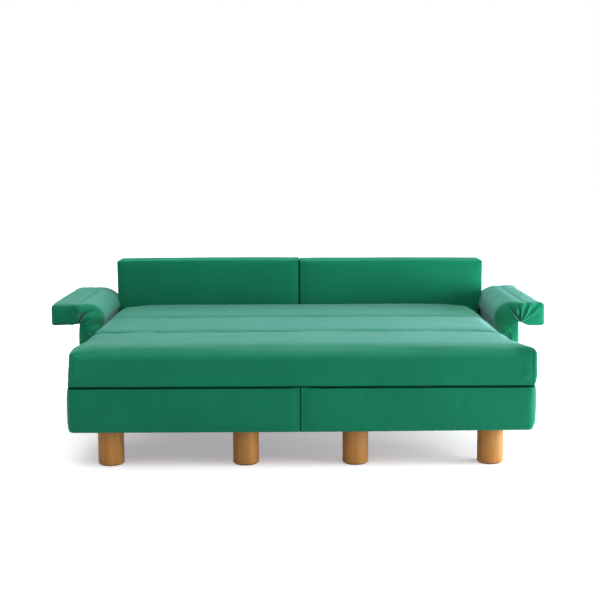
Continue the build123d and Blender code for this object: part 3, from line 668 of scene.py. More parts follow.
def zinc_plate(sheet, looks):
    """Zinc plated steel with cloudy patches."""
    cloud = sheet.noise(sheet.place(), 60.0, 4.0, 0.6)
    base = sheet.tint(cloud.between(0.3, 0.7), (0.50, 0.49, 0.44), (0.72, 0.72, 0.70))
    normal = sheet.bump(cloud, 0.0001, 0.4)
    return sheet.surface(base, cloud * 0.2 + 0.28, normal, {"Metallic": 1.0})


def moulded_nylon(sheet, looks):
    """White moulded nylon, slightly cloudy."""
    cloud = sheet.noise(sheet.place(), 120.0)
    base = sheet.tint(cloud.between(0.3, 0.7), (0.66, 0.65, 0.60), (0.76, 0.75, 0.72))
    return sheet.surface(base, cloud * 0.1 + 0.45, sheet.bump(cloud, 0.0001, 0.4), {})


def pressed_felt(sheet, looks):
    """Grey felt: matted fibres from fine noise."""
    fibre = sheet.noise(sheet.place(), 1400.0, 4.0, 0.7)
    base = sheet.tint(fibre.between(0.35, 0.65), (0.10, 0.10, 0.105), (0.22, 0.22, 0.225))
    return sheet.surface(base, fibre * 0.05 + 0.92, sheet.bump(fibre, 0.0006, 0.8), {})


FINISHES = {
    "green_fabric": woven_cover, "beech_legs": lacquered_beech, "plywood_boards": plywood,
    "birch_slats": bent_birch, "dark_painted_steel": powder_coat,
    "zinc_plated_steel": zinc_plate, "white_nylon": moulded_nylon, "grey_felt": pressed_felt,
}
PAINTED_PLATES = ("front_hinge_plates", "middle_hinge_plates", "rear_hinge_plates")


def finish(maker):
    """The material of a function above, made when it is first asked for. The function's
    name is the material's name."""
    name = maker.__name__.replace("_", " ").capitalize()
    looks = bpy.context.scene.sofa_bed_finishes
    return bpy.data.materials.get(name) or maker(Sheet(bpy.data.materials.new(name)), looks)


# Mattress


# Zones and spacing of a section's grid lines along x, y and z
MATTRESS_GRID = (
    (((0.015, 0.003), (0.055, 0.009)), 0.024),
    (((0.012, 0.003), (0.075, 0.0068)), 0.0125),
    (((0.012, 0.003), (0.048, 0.0065)), 0.013),
)


class Section(NamedTuple):
    """What sets one mattress section apart. reach is how far it goes past its CAD box at
    the left end, the right end and the front. front and rear are the radii of its upper
    edges. rounds and drops go front left, front right, rear left, rear right. lap is how
    far its upper rear edge is lowered."""

    name: str
    node: str
    body: str
    seed: int
    reach: tuple
    front: float
    rear: float
    rounds: tuple
    drops: tuple
    lap: float
    is_front: bool = False


def section_radii(flat, low, high, section):
    """The radii of a section's rounding, near and far. The front section's upper front
    edge is less round at its two ends."""
    shape = bpy.context.scene.sofa_bed_mattress
    end_height, height_fade, end_reach, reach_fade = 0.011, 0.07, 0.016, 0.09
    depth = (flat[:, 1] - low[1]) / (high[1] - low[1])
    upper = flat[:, 2] > (low[2] + high[2]) / 2
    ends = np.full(len(flat), shape.end_depth)
    bottom = np.full(len(flat), shape.bottom_edge)
    top = mixed(section.front, section.rear, smooth((depth - 0.1) / 0.8))
    front = section.front
    if section.is_front:
        to_end = from_ends(flat, low, high)
        top = mixed(end_height, top, smooth(to_end / height_fade))
        front = mixed(end_reach, shape.front_reach, smooth(to_end / reach_fade))
    near = np.stack([ends, np.where(upper, front, bottom), bottom], -1)
    far = np.stack([ends, np.where(upper, section.rear, bottom), top], -1)
    return near, far


def drawn_in(points, low, high, share, is_front):
    """Draws the upper edges of a section's two ends in and sinks them along an ellipse.
    The front section's ends are drawn in more and more towards the rear."""
    shape = bpy.context.scene.sofa_bed_mattress
    full_depth, fade, sink_length, sink = 0.34, 0.16, 1.4, 0.55
    behind = smooth((points[:, 1] - low[1]) / full_depth) if is_front else 1.0
    for side, draw in ((-1, shape.left_draw), (1, shape.right_draw)):
        to_end = from_face(points, low, high, 0, side)
        rise = behind * share**1.5
        points[:, 0] -= side * draw * rise * fading(to_end, fade)
        sunk = 1 - np.sqrt(1 - np.clip(1 - to_end / (sink_length * draw), 0, 0.98) ** 2)
        points[:, 2] -= sink * draw * rise * sunk
    return points


def soft_corners(points, low, high, rounds, drops, share):
    """Rounds a section's four corners in plan and lets them drop. Past the start of a
    corner of radius r, by t, the end moves in by r - sqrt(r^2 - t^2). The drop falls
    off as a bell of the distance from the end and one of that from the side."""
    end_width, end_growth, side_width, side_growth = 0.045, 3.0, 0.035, 2.3
    for index, (radius, drop) in enumerate(zip(rounds, drops)):
        side = 1 if index % 2 else -1
        to_end = from_face(points, low, high, 0, side)
        to_side = from_face(points, low, high, 1, index - 1.5)
        past = np.clip(radius - to_side, 0, radius)
        inset = radius - np.sqrt(radius**2 - past**2)
        points[:, 0] -= side * inset * fading(to_end, 3 * radius)
        end_bell = bell(to_end / (end_width + end_growth * drop))
        side_bell = bell(to_side / (side_width + side_growth * drop))
        points[:, 2] -= drop * share * end_bell * side_bell
    return points


def seam_edges(points, flat, low, high, share, section):
    """Lowers a section's upper rear edge by a wavy amount and, on the two rear sections,
    tucks the front face in below its upper edge."""
    wave_length, lap_reach = 0.33, 0.075
    tuck_rise, tuck_end, tuck_fall, skin = 0.004, 0.028, 0.02, 0.01
    wave = 0.55 + 0.45 * waves(flat[:, 0], flat[:, 0] * 0, section.seed, wave_length, 1.0, 4)
    to_rear = high[1] - points[:, 1]
    points[:, 2] -= section.lap * wave * share * fading(to_rear, lap_reach)
    if section.is_front:
        return points
    below = high[2] - flat[:, 2]
    tuck = smooth((below - section.front + tuck_rise / 2) / tuck_rise)
    tuck *= fading(below - tuck_end, tuck_fall)
    tuck *= fading(flat[:, 1] - low[1], skin)
    points[:, 1] += bpy.context.scene.sofa_bed_mattress.tuck * tuck
    return points


def end_seams(points, flat, quads, low, high, seed):
    """A seam round each end: a ridge along the outline, a shallow groove beside it, and
    puckers that cross it and die away."""
    pucker, pucker_length, pucker_reach = 0.0015, 0.045, 0.034
    far, run = seam_distance(flat, low, high, 0)
    puckers = waves(run, flat[:, 0], seed, pucker_length, 2.0, 4) * np.exp(-far / pucker_reach)
    amount = seam_relief(
        far, ridge=0.0024, ridge_width=0.0035,
        groove=0.0015, groove_place=0.009, groove_width=0.0042,
    )
    amount += pucker * puckers
    return points + normals_of(points, quads) * amount[:, None]


def front_relief(points, flat, low, high, seed):
    """The front section's swollen right end panel, by 1 - |h|^5 of the height, its
    leaning left end, its sagging lower rim and, behind the rim, a bulge, a bell of the
    depth, that is pressed down on the base."""
    shape = bpy.context.scene.sofa_bed_mattress
    ahead_end, ahead_fade, panel_step, lean_reach = 0.13, 0.12, 0.006, 0.15
    sag_wave, sag_length, rim_width = 0.0012, 0.3, 0.06
    bulge, bulge_place, bulge_width = 0.0085, 0.0215, 0.0065
    to_front = flat[:, 1] - low[1]
    height = (flat[:, 2] - low[2]) / (high[2] - low[2])
    ahead = fading(to_front - ahead_end, ahead_fade)
    panel = smooth((points[:, 0] - high[0] + 0.55 * shape.end_depth) / panel_step)
    points[:, 0] += shape.end_swell * (1 - np.abs(2 * height - 1) ** 5) * ahead * panel
    leaning = smooth((low[0] + lean_reach - points[:, 0]) / lean_reach)
    points[:, 0] -= shape.end_lean * (1 - height) * ahead * leaning
    rim = np.minimum(to_front, from_ends(flat, low, high))
    sag = shape.rim_drop + sag_wave * waves(flat[:, 0], rim, seed, sag_length, 1.0, 4)
    points[:, 2] -= ahead * sag * fading(height, 0.15) * fading(rim, rim_width)
    pressed = bell((to_front - bulge_place) / bulge_width) * (height < TINY)
    points[:, 2] -= bulge * pressed
    return points


def relief(points, flat, quads, low, high, section):
    """The fine relief of a filled section: broad ripples, wrinkles along the hinge seams
    that die away from them by exp(-d), the front section's own relief, and last the end
    seams."""
    broad_length, broad_width = 0.16, 0.7
    fine_length, fine_width, fine_reach = 0.032, 0.30, 0.06
    height = (flat[:, 2] - low[2]) / (high[2] - low[2])
    girth = flat[:, 1] + flat[:, 2]
    broad = waves(girth, flat[:, 0], section.seed + 1, broad_length, broad_width)
    fine = waves(girth, flat[:, 0], section.seed + 2, fine_length, fine_width)
    to_seam = high[1] - flat[:, 1] if section.is_front else from_ends(flat, low, high, 1)
    amount = broad + 0.9 * fine * np.exp(-to_seam / fine_reach)
    amount *= bpy.context.scene.sofa_bed_mattress.ripple * smooth((height - 0.05) / 0.3)
    points = points + normals_of(points, quads) * amount[:, None]
    if section.is_front:
        points = front_relief(points, flat, low, high, section.seed + 3)
    return end_seams(points, flat, quads, low, high, section.seed)


def mattress_section(section):
    """One mattress section. A rounded box gets a crown (1 - u^4)(1 - v^2), ends drawn
    in by (1 - v^2), soft corners and a wavy lowered rear edge, is filled as cloth, and
    then gets its relief. Its top lies a little under that of its CAD box."""
    shape = bpy.context.scene.sofa_bed_mattress
    top_space, end_hollow, pressure = 0.003, 0.004, 4.0
    low, high = box_of(section.node)
    left, right, front = section.reach
    low += (-left, -front, 0.0)
    high += (right, 0.0, -shape.crown - top_space)
    flat, quads, weave = box_grid(low, high, MATTRESS_GRID)
    points = rounded(flat, low, high, *section_radii(flat, low, high, section))
    u, v, w = ((points - low) / (high - low) * 2 - 1).T
    share = smooth((w + 0.4) / 1.2)
    points[:, 2] += shape.crown * share * (1 - u**4) * (1 - v**2)
    points[:, 0] -= np.sign(u) * end_hollow * (1 - v**2) * smooth((np.abs(u) - 0.8) / 0.2)
    points = drawn_in(points, low, high, share, section.is_front)
    points = soft_corners(points, low, high, section.rounds, section.drops, share)
    points = seam_edges(points, flat, low, high, share, section)
    piece = mesh_piece(section.name, points, quads, weave, seam_distance(flat, low, high, 0))
    at_end = from_ends(flat, low, high) < TINY
    at_hinge = (v > 0.94) | ((v < -0.94) & (not section.is_front))
    held = at_end | at_hinge | (w < -0.8)
    points = fill_cover(piece, held, pressure, shape.slack, shape.swell)
    points = relief(points, flat, quads, low, high, section)
    upholster(piece, points, [section.node], section.body)


class SOFABED_OT_mattress(bpy.types.Operator):
    """Makes the three mattress sections"""

    bl_idname = "sofa_bed.mattress"
    bl_label = "Mattress sections"

    def execute(self, context):
        shape = context.scene.sofa_bed_mattress
        rear_reach = (shape.end_cover, shape.end_cover, 0.0)
        mattress_section(Section(
            "front_mattress", "front_cushion", "front_carriage", seed=3,
            reach=(-0.011, 0.004, 0.008), front=shape.front_edge, rear=shape.lap_edge,
            rounds=(0.012, 0.010, 0.030, 0.045), drops=(0.012, 0.002, 0.004, 0.010),
            lap=shape.lap, is_front=True,
        ))
        mattress_section(Section(
            "middle_mattress", "middle_cushion", "middle_panel", seed=11,
            reach=rear_reach, front=shape.hinge_edge, rear=shape.fold_edge,
            rounds=(0.015, 0.035, 0.020, 0.040), drops=(0.002, 0.008, 0.003, 0.010),
            lap=0.002,
        ))
        mattress_section(Section(
            "rear_mattress", "rear_cushion", "rear_panel", seed=19,
            reach=rear_reach, front=shape.fold_edge, rear=shape.hinge_edge,
            rounds=(0.020, 0.045, 0.060, 0.090), drops=(0.003, 0.010, 0.020, 0.026),
            lap=0.0,
        ))
        return {"FINISHED"}


# Padded boards


# Zones and spacing of the grid lines of a back rest's half, alike along x, y and z
BACK_GRID = ((((0.012, 0.003), (0.04, 0.007)), 0.016),) * 3

# How far the front base's outer ends reach past their CAD covers, and how far its lower
# rim rises from the middle to the outer end
FRONT_GROWTH = {"left": -0.0025, "right": 0.0065}
RIM_RISE = {"left": 0.0, "right": 0.004}


def nested_end(to_end, across, gap, side):
    """How far a half's inner end moves towards the other half: it closes the gap, and
    the left half's end is hollowed by 1 - across^2 where the right half's swells."""
    shape = bpy.context.scene.sofa_bed_boards
    reach = 0.03
    curve = SIGN[side] * shape.nest * np.maximum(1 - across**2, 0)
    return (gap - shape.touch / 2 + curve) * fading(to_end, reach)


def back_rest(side, growth, rise, seed):
    """One half of the back rest: a rounded box whose faces swell by (1 - u^6)(1 - w^4),
    filled as cloth, with a seam round its front panel. The outer end grows a little."""
    shape = bpy.context.scene.sofa_bed_boards
    ripple, ripple_length, ripple_height, inner_end = 0.0006, 0.45, 0.25, 0.02
    node = f"back_pad_{side}"
    low, high = box_of(node)
    flat, quads, weave = box_grid(low, high, BACK_GRID)
    radii = np.full(3, shape.edge)
    points = rounded(flat, low, high, radii, radii)
    u, v, w = ((points - low) / (high - low) * 2 - 1).T
    points[:, 1] += shape.puff * (1 - u**6) * (1 - w**4) * v
    points[:, 2] += (shape.puff * (1 - u**2) + rise) * smooth(w)
    inner = high[0] if side == "left" else low[0]
    to_middle = np.abs(points[:, 0] - inner)
    points[:, 0] -= SIGN[side] * nested_end(to_middle, v, abs(inner), side)
    points[:, 0] += SIGN[side] * growth * smooth(u * SIGN[side])
    seam = seam_distance(flat, low, high, 1)
    piece = mesh_piece(f"back_rest_{side}", points, quads, weave, seam)
    held = (w < -0.9) | (to_middle < inner_end)
    points = fill_cover(piece, held, pressure=3.0, slack=0.005, limit=0.003)
    far = seam_distance(flat, low, high, 1, ends=(0,))[0]
    amount = ripple * waves(flat[:, 0], flat[:, 2], seed, ripple_length, ripple_height)
    amount += seam_relief(
        far, ridge=0.0013, ridge_width=0.003,
        groove=0.0008, groove_place=0.008, groove_width=0.004,
    )
    amount *= smooth(to_middle / inner_end)
    points += normals_of(points, quads) * amount[:, None]
    upholster(piece, points, [node], "sofa")


class SOFABED_OT_backs(bpy.types.Operator):
    """Makes the two upholstered halves of the back rest"""

    bl_idname = "sofa_bed.backs"
    bl_label = "Back rests"

    def execute(self, context):
        back_rest("left", growth=0.0020, rise=0.004, seed=31)
        back_rest("right", growth=0.0080, rise=0.0, seed=37)
        return {"FINISHED"}


def front_ends(place, s, b, w, outer, front, straight, side):
    """The front cover's places and heights b with the outer end moved sideways and the
    lower rim lifted towards that end. Both die away towards the rear."""
    growth_reach, ahead_start, ahead_fade = 0.25, 0.04, 0.20
    near_end = smooth((np.abs(place[:, 0]) - outer + growth_reach) / growth_reach)
    ahead = fading(place[:, 1] - front - ahead_start, ahead_fade)
    place[:, 0] += SIGN[side] * FRONT_GROWTH[side] * near_end * ahead
    return place, b + RIM_RISE[side] * smooth(s / straight) * ahead * smooth(-w)


def lifted_corner(place, b, low, outer, past_turn, corner):
    """The heights b with the lower outer corner lifted by r - sqrt(r^2 - t^2). The lift
    dies away upwards and along the side."""
    side_fade, height_fade = 0.07, 0.06
    past = np.clip((np.abs(place[:, 0]) - outer) / corner + 1, 0, 1)
    lift = corner * (1 - np.sqrt(1 - past**2)) * fading(past_turn, side_fade)
    return b + lift * fading(b - low, height_fade)


def base_cover(end, body, side, seed):
    """The padded skin of one base box. A flat rounded slab, slightly puffed, is bent
    round the outer corner: s runs from the middle of the sofa outwards and back along
    the side, a is the height over the middle of the padding and b the height over the
    floor. The wavy top edge stands a little higher at the middle of the sofa."""
    shape = bpy.context.scene.sofa_bed_boards
    thickness, turn_radius, edge = 0.020, 0.032, 0.0065
    top_inside, top_outside, top_fade, top_wave, top_length = 0.0022, -0.0035, 0.07, 0.0009, 0.25
    ripple, ripple_length, ripple_height, end_fade = 0.0006, 0.33, 0.25, 0.05
    zones, bend_margin = ((0.010, 0.0025), (0.04, 0.0075)), 0.012
    node = f"{end}_cover_{side}"
    low, high = box_of(node)
    inner, outer = sorted((abs(low[0]), abs(high[0])))
    half, middle_radius = thickness / 2, turn_radius - thickness / 2
    straight = outer - turn_radius - inner
    arc = middle_radius * QUARTER_TURN
    total = straight + arc + high[1] - low[1] - turn_radius
    ss = stepped_lines(0, total, zones, step=0.018)
    ss = with_bend(ss, straight - bend_margin, straight + arc + bend_margin, count=15)
    aa = stepped_lines(-half, half, ((edge, edge / 4),), step=0.0035)
    bb = stepped_lines(low[2], high[2], zones, step=0.015)
    flat, quads, weave = block_grid(ss, aa, bb)
    slab_low, slab_high = np.array([0, -half, low[2]]), np.array([total, half, high[2]])
    near, far = np.array([edge / 5, edge / 2, edge]), np.array([edge, edge, edge])
    s, a, b = rounded(flat, slab_low, slab_high, near, far).T
    w = (b - low[2]) / (high[2] - low[2]) * 2 - 1
    outside = smooth((a + half) / thickness)
    ends = smooth(np.minimum(s, total - s) / end_fade)
    beside = smooth((s - straight) / (2 * arc))
    puff = shape.puff * (1 - w**4) * ends * (1 - 0.8 * beside)
    a = a + outside * (puff + ripple * waves(s, b, seed, ripple_length, ripple_height))
    s = s - nested_end(s, a / half, inner, side)
    top = mixed(top_inside, top_outside, smooth(s / top_fade))
    b = b + (top + top_wave * waves(s, s * 0, seed + 1, top_length, 1.0, 4)) * smooth(w)
    forward = -1.0 if end == "front" else 1.0
    start = (SIGN[side] * inner, (low[1] if end == "front" else high[1]) - forward * half)
    place = bent(s, a, straight, middle_radius, start, (SIGN[side], 0.0), (0.0, forward))
    if end == "front":
        place, b = front_ends(place, s, b, w, outer, low[1], straight, side)
    b = lifted_corner(place, b, low[2], outer, s - straight - arc, shape.corner)
    points = np.stack([place[:, 0], place[:, 1], b], -1)
    if SIGN[side] * forward < 0:
        quads, weave = turned_over(quads, weave)
    seam = seam_distance(flat, slab_low, slab_high, 1, ends=(1,))
    piece = mesh_piece(f"{end}_base_{side}", points, quads, weave, seam)
    held = (outside < 0.9) | (np.abs(w) > 0.93) | (ends < 0.2)
    points = fill_cover(piece, held, pressure=3.0, slack=0.003, limit=0.002)
    upholster(piece, points, [node], body)


class SOFABED_OT_base(bpy.types.Operator):
    """Makes the upholstered skins of the four base boxes"""

    bl_idname = "sofa_bed.base"
    bl_label = "Base covers"

    def execute(self, context):
        base_cover("front", "front_carriage", "left", seed=41)
        base_cover("front", "front_carriage", "right", seed=47)
        base_cover("rear", "sofa", "left", seed=53)
        base_cover("rear", "sofa", "right", seed=59)
        return {"FINISHED"}


# Arms


# Zones and spacing of an arm's grid lines along its length, thickness and depth, and the
# finer lines of its bend: how far they start before it and end behind it, and their count
ARM_GRID = (
    (((0.014, 0.0035), (0.05, 0.007)), 0.013),
    (((0.012, 0.003),), 0.0042),
    (((0.016, 0.004), (0.085, 0.0072)), 0.022),
)
ARM_BEND = (0.03, 0.05, 52)


class Fold(NamedTuple):
    """One fold that runs out from an arm's crease. direction is in quarter turns from
    straight inwards, width is half its width in quarter turns, and depth is a share of
    the deepest fold's. A ridge has a negative depth. turn is how far the fold has turned
    at TURN_PLACE from the crease."""

    direction: float
    width: float
    reach: float
    depth: float
    turn: float = 0.0


class ArmShape(NamedTuple):
    """What sets one arm apart: how much farther its flap reaches, how far the flap's
    underside hangs, how much slimmer it is on the outside, how far the flap's upper end
    edge bows out, how far down the roll's domed end goes, the seed of its ripples and
    puckers, and its folds."""

    reach: float
    hang: float
    slim: float
    bow: float
    low: float
    seed: int
    folds: tuple


# Distance from the crease at which a fold's turn is given
TURN_PLACE = 0.08
LEFT_ARM = ArmShape(0.006, 0.003, 0.0, 0.004, -0.5, 61, (
    Fold(0.86, 0.10, 0.095, 1.9, -0.28), Fold(1.08, 0.09, 0.070, -0.50, -0.20),
    Fold(0.56, 0.11, 0.070, -0.55, -0.15), Fold(0.28, 0.10, 0.050, 0.40),
    Fold(0.02, 0.10, 0.060, -0.25), Fold(1.50, 0.22, 0.110, 0.20),
))
RIGHT_ARM = ArmShape(-0.011, 0.016, 0.007, -0.012, -1.2, 67, (
    Fold(0.69, 0.055, 0.105, 1.70), Fold(0.81, 0.050, 0.090, -0.70),
    Fold(0.92, 0.050, 0.075, 1.10), Fold(1.06, 0.06, 0.085, -0.50),
    Fold(1.20, 0.05, 0.095, 0.45), Fold(1.36, 0.06, 0.120, -0.50),
    Fold(1.46, 0.05, 0.100, 0.35), Fold(1.58, 0.05, 0.120, -0.45),
    Fold(1.70, 0.05, 0.090, 0.30), Fold(0.52, 0.10, 0.070, -0.50),
    Fold(0.30, 0.10, 0.050, 0.35),
))


def fold_depth(around, folds):
    """How deep the folds are at places given from the crease, inwards and upwards. Each
    is a bell of the angle from its direction, whose edge wanders a little, times
    exp(-r^2) with r the distance over its reach, and shallower at the crease."""
    wander_length, shallow_reach = 0.017, 0.012
    distance = np.hypot(around[:, 0], around[:, 1])
    angle = np.arctan2(around[:, 1], around[:, 0]) / QUARTER_TURN
    angle = np.where(angle < -1, angle + 4, angle)
    total = np.zeros(len(around))
    for order, fold in enumerate(folds):
        wander = 0.05 * np.sin(distance / wander_length + 2.4 * order)
        turned = fold.direction + fold.turn * (distance / TURN_PLACE) ** 2
        across = bell((angle - turned - wander) / fold.width)
        total += fold.depth * across * bell(distance / fold.reach)
    return total * (1 - 0.5 * bell(distance / shallow_reach))


def dome_share(share, starts, lengths, depth):
    """How much of the dome there is: it rises and falls along the bend, and is less at
    the arm's rear end, where depth is 1."""
    dome = smooth((share - starts[0]) / lengths[0])
    dome *= fading(share - starts[1], lengths[1])
    return dome * mixed(1.0, bpy.context.scene.sofa_bed_arms.rear_dome, smooth(depth))


def arm_radii(flat, share, half, depth):
    """The radii of an arm slab's rounding, near and far. On the outer side of the bend
    the edges are rounder along the arm than along the flap, and roundest at the bend."""
    shape = bpy.context.scene.sofa_bed_arms
    lower_end, flap_end, inside, inside_depth = 0.012, 0.014, 0.010, 0.012
    arm_edge, flap_height, flap_depth = 0.030, 0.018, 0.014
    dome = dome_share(share, (-0.75, 0.45), (0.9, 0.75), depth)
    height = mixed(mixed(arm_edge, flap_height, smooth(share)), shape.dome_height, dome)
    reach = mixed(mixed(arm_edge, flap_depth, smooth(share)), shape.dome_depth, dome)
    reach = mixed(inside_depth, reach, smooth((flat[:, 1] / half + 0.8) / 0.5))
    near = np.stack([np.full(len(flat), lower_end), np.full(len(flat), inside), reach], -1)
    far = np.stack([np.full(len(flat), flap_end), height, reach], -1)
    return near, far


def filled_out(s, a, b, share, to_end, total, half, arm):
    """An arm slab's s and a, filled out, and how far each point lies in the bend. The
    faces swell and ripple, the bend's roll swells inwards, the underside hangs, the
    outside is slimmer and the flap's upper end edge bows out. At the crease the height
    h over it becomes sqrt(h^2 + r^2)."""
    shape = bpy.context.scene.sofa_bed_arms
    swell, swell_fade, ripple, ripple_depth, ripple_length = 0.003, 0.10, 0.0009, 0.22, 0.16
    roll_fade, bow_fade, bow_length, crease_radius = 0.09, 0.08, 0.06, 0.0045
    in_bend = bell((share - 0.5) / 0.75)
    full = swell * smooth(to_end / swell_fade) * (1 - in_bend)
    full += ripple * waves(b, s, arm.seed, ripple_depth, ripple_length)
    hang = arm.hang * smooth((share - 0.95) / 0.4) * (half - a) / (2 * half)
    slim = arm.slim * (1 - smooth(share)) * (half - a) / (2 * half)
    roll = shape.roll * bell((share - 0.25) / 0.5) * smooth(a / half) * smooth(to_end / roll_fade)
    upper = smooth(a / half * 0.6 + 0.4) * smooth(to_end / bow_fade)
    s = s + arm.bow * smooth((s - total + bow_length) / bow_length) * upper
    a = a + a / half * full - hang + roll + slim
    gathered = np.hypot(np.maximum(half + a, 0), crease_radius) - half
    return s, mixed(a, gathered, in_bend), in_bend


def folded_ends(s, a, b, share, around, front, back, half, arm):
    """An arm slab's depth b with its two ends worked in: the roll's domed ends fall
    back, and the folds and puckers die away from the ends by exp(-d)."""
    shape = bpy.context.scene.sofa_bed_arms
    fold_fade, recess_fade, pucker, pucker_length, pucker_width = 0.045, 0.36, 0.0015, 0.07, 0.11
    to_end = np.minimum(b - front, back - b)
    inward = np.where(b < (front + back) / 2, 1.0, -1.0)
    puckers = pucker * waves(s, a, arm.seed + 1, pucker_length, pucker_width)
    domed = dome_share(share, (arm.low, 0.55), (0.7, 0.40), (b - front) / (back - front))
    skin = np.clip((a + half) / (2 * half), 0, 1.2)
    b = b + inward * shape.recess * domed * skin * fading(to_end, recess_fade)
    folds = shape.crease * fold_depth(around, arm.folds)
    return b + inward * np.exp(-to_end / fold_fade) * (folds + puckers)


def arm_cover(side, arm):
    """A whole arm as one padded slab, bent outwards by a quarter turn round its crease.
    s runs up the arm, round the bend and out along the flap, a is the height over the
    slab's middle and b the depth. share is 0 where the bend starts and 1 where it ends.
    The slab is filled out, bent and folded in at its two ends, and then filled as
    cloth."""
    held_foot, blend_reach = 0.03, 0.028
    sign = SIGN[side]
    arm_low, arm_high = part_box(f"arm_pad_{side}")
    flap_low, flap_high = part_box(f"flap_pad_{side}")
    half = bpy.context.scene.sofa_bed_arms.thickness / 2
    inner = min(abs(arm_low[0]), abs(arm_high[0]))
    reach = max(abs(flap_low[0]), abs(flap_high[0])) + arm.reach
    front, back = flap_low[1], flap_high[1]
    straight = flap_high[2] - 2 * half - arm_low[2]
    arc = half * QUARTER_TURN
    total = straight + arc + reach - inner - 2 * half
    slab_low, slab_high = np.array([0, -half, front]), np.array([total, half, back])
    ss, aa, bb = grid_lines(slab_low, slab_high, ARM_GRID)
    before, behind, count = ARM_BEND
    ss = with_bend(ss, straight - before, straight + arc + behind, count)
    flat, quads, weave = block_grid(ss, aa, bb)
    depth = (flat[:, 2] - front) / (back - front)
    radii = arm_radii(flat, (flat[:, 0] - straight) / arc, half, depth)
    s, a, b = rounded(flat, slab_low, slab_high, *radii).T
    share = (s - straight) / arc
    to_end = np.minimum(b - front, back - b)
    s, a, in_bend = filled_out(s, a, b, share, to_end, total, half, arm)
    start = (sign * (inner + half), arm_low[2])
    place = bent(s, a, straight, half, start, (0.0, 1.0), (-sign, 0.0))
    crease = np.array([sign * (inner + 2 * half), flap_high[2] - 2 * half])
    around = (place - crease) * (-sign, 1.0)
    b = folded_ends(s, a, b, share, around, front, back, half, arm)
    points = np.stack([place[:, 0], b, place[:, 1]], -1)
    if sign > 0:
        quads, weave = turned_over(quads, weave)
    seam = seam_distance(flat, slab_low, slab_high, 2)
    piece = mesh_piece(f"arm_cover_{side}", points, quads, weave, seam)
    held = (in_bend > 0.4) | (s < held_foot)
    points = fill_cover(piece, held, pressure=3.0, slack=0.004, limit=0.003)
    upholster(piece, points, [f"arm_pad_{side}", f"flap_pad_{side}"], None)
    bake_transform(piece)


class SOFABED_OT_arms(bpy.types.Operator):
    """Makes the two arms with their folded-out flaps"""

    bl_idname = "sofa_bed.arms"
    bl_label = "Arms"

    def execute(self, context):
        arm_cover("left", LEFT_ARM)
        arm_cover("right", RIGHT_ARM)
        return {"FINISHED"}


# Legs


def turned_leg(x, y, low, high, radius):
    """A turned leg from the outside of a box. A square ring of half width r becomes a
    circle of radius r: its point at a share t along a side lies t eighths of a turn
    from that side's middle. The foot is rounded and the top edge slightly broken."""
    foot, rim, ring_step, height_step = 0.005, 0.0015, 0.008, 0.02
    lines = stepped_lines(-radius, radius, ((foot, foot / 3),), ring_step)
    heights = stepped_lines(low, high, ((foot, foot / 4),), height_step)
    flat, quads, _ = block_grid(lines, lines, heights)
    wide = np.abs(flat[:, 0]) >= np.abs(flat[:, 1])
    main, other = np.where(wide, flat[:, :2].T, flat[:, 1::-1].T)
    ring = np.abs(main)
    edge = np.where(flat[:, 2:] < (low + high) / 2, foot, rim) * np.ones(3)
    corners = np.array([[-radius, -1, low], [radius, 1, high]])
    profile = rounded(np.stack([ring, ring * 0, flat[:, 2]], -1), *corners, edge, edge)
    scale = profile[:, 0] / np.maximum(ring, TINY)
    angle = math.pi / 4 * other / np.where(ring < TINY, 1, main)
    ahead, aside = main * scale * np.cos(angle), main * scale * np.sin(angle)
    across, along = np.where(wide, (ahead, aside), (aside, ahead))
    return np.stack([x + across, y + along, profile[:, 2]], -1), quads


class SOFABED_OT_legs(bpy.types.Operator):
    """Makes the turned beech legs"""

    bl_idname = "sofa_bed.legs"
    bl_label = "Legs"

    def execute(self, context):
        low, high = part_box("front_leg_left_outer")
        radius = (high[0] - low[0]) / 2
        for side in SIGN:
            self.legs_of(f"front_leg_{side}_outer", "front_carriage", radius)
            self.legs_of(f"front_leg_{side}_inner", "front_carriage", radius)
            self.legs_of(f"rear_legs_{side}", "sofa", radius)
        return {"FINISHED"}

    def legs_of(self, node, body, radius):
        """One leg at the middle of a small node, or one at each corner of a large one."""
        low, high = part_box(node)
        rows = [sorted({round(low[i] + radius, 5), round(high[i] - radius, 5)}) for i in (0, 1)]
        legs = [turned_leg(x, y, low[2], high[2], radius) for x in rows[0] for y in rows[1]]
        count = len(legs[0][0])
        points = np.concatenate([leg_points for leg_points, _ in legs])
        quads = np.concatenate([leg_quads + i * count for i, (_, leg_quads) in enumerate(legs)])
        piece = mesh_piece(f"turned_{node}", points, quads)
        piece.data.materials.append(finish(lacquered_beech))
        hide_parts(node)
        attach(piece, body)


# Boards and hardware


class SOFABED_OT_hardware(bpy.types.Operator):
    """Gives boards, slats, rails, plates and bolts their finishes"""

    bl_idname = "sofa_bed.hardware"
    bl_label = "Boards and hardware"

    def execute(self, context):
        for entry in frame["record"]["subparts"]:
            node = frame["nodes"][entry["node"]]
            painted = entry["node"] in PAINTED_PLATES
            material = finish(matching_paint if painted else FINISHES[entry["material_slot"]])
            if not node.material_slots:
                node.data.materials.append(material)
            for holder in node.material_slots:
                holder.material = material
        return {"FINISHED"}


# Stage


CEILING_SPREAD = math.radians(110)
CEILING_PLACE = (0.1, 0.12, 1.0)
WINDOW_COLOUR = (0.88, 0.96, 1.0)
# Name, setting that holds its power, size, place and target of each window
WINDOWS = (
    ("Window", "window", (2.4, 0.8), (3.3, -1.5, 0.5), (0.4, -0.3, 0.1)),
    ("Rear window", "rear_window", (5.0, 2.0), (0.6, 4.2, 2.6), (0.0, 0.0, 0.5)),
    ("Side window", "side_window", (1.5, 0.8), (2.7, -0.4, 0.62), (0.3, -0.4, 0.1)),
)


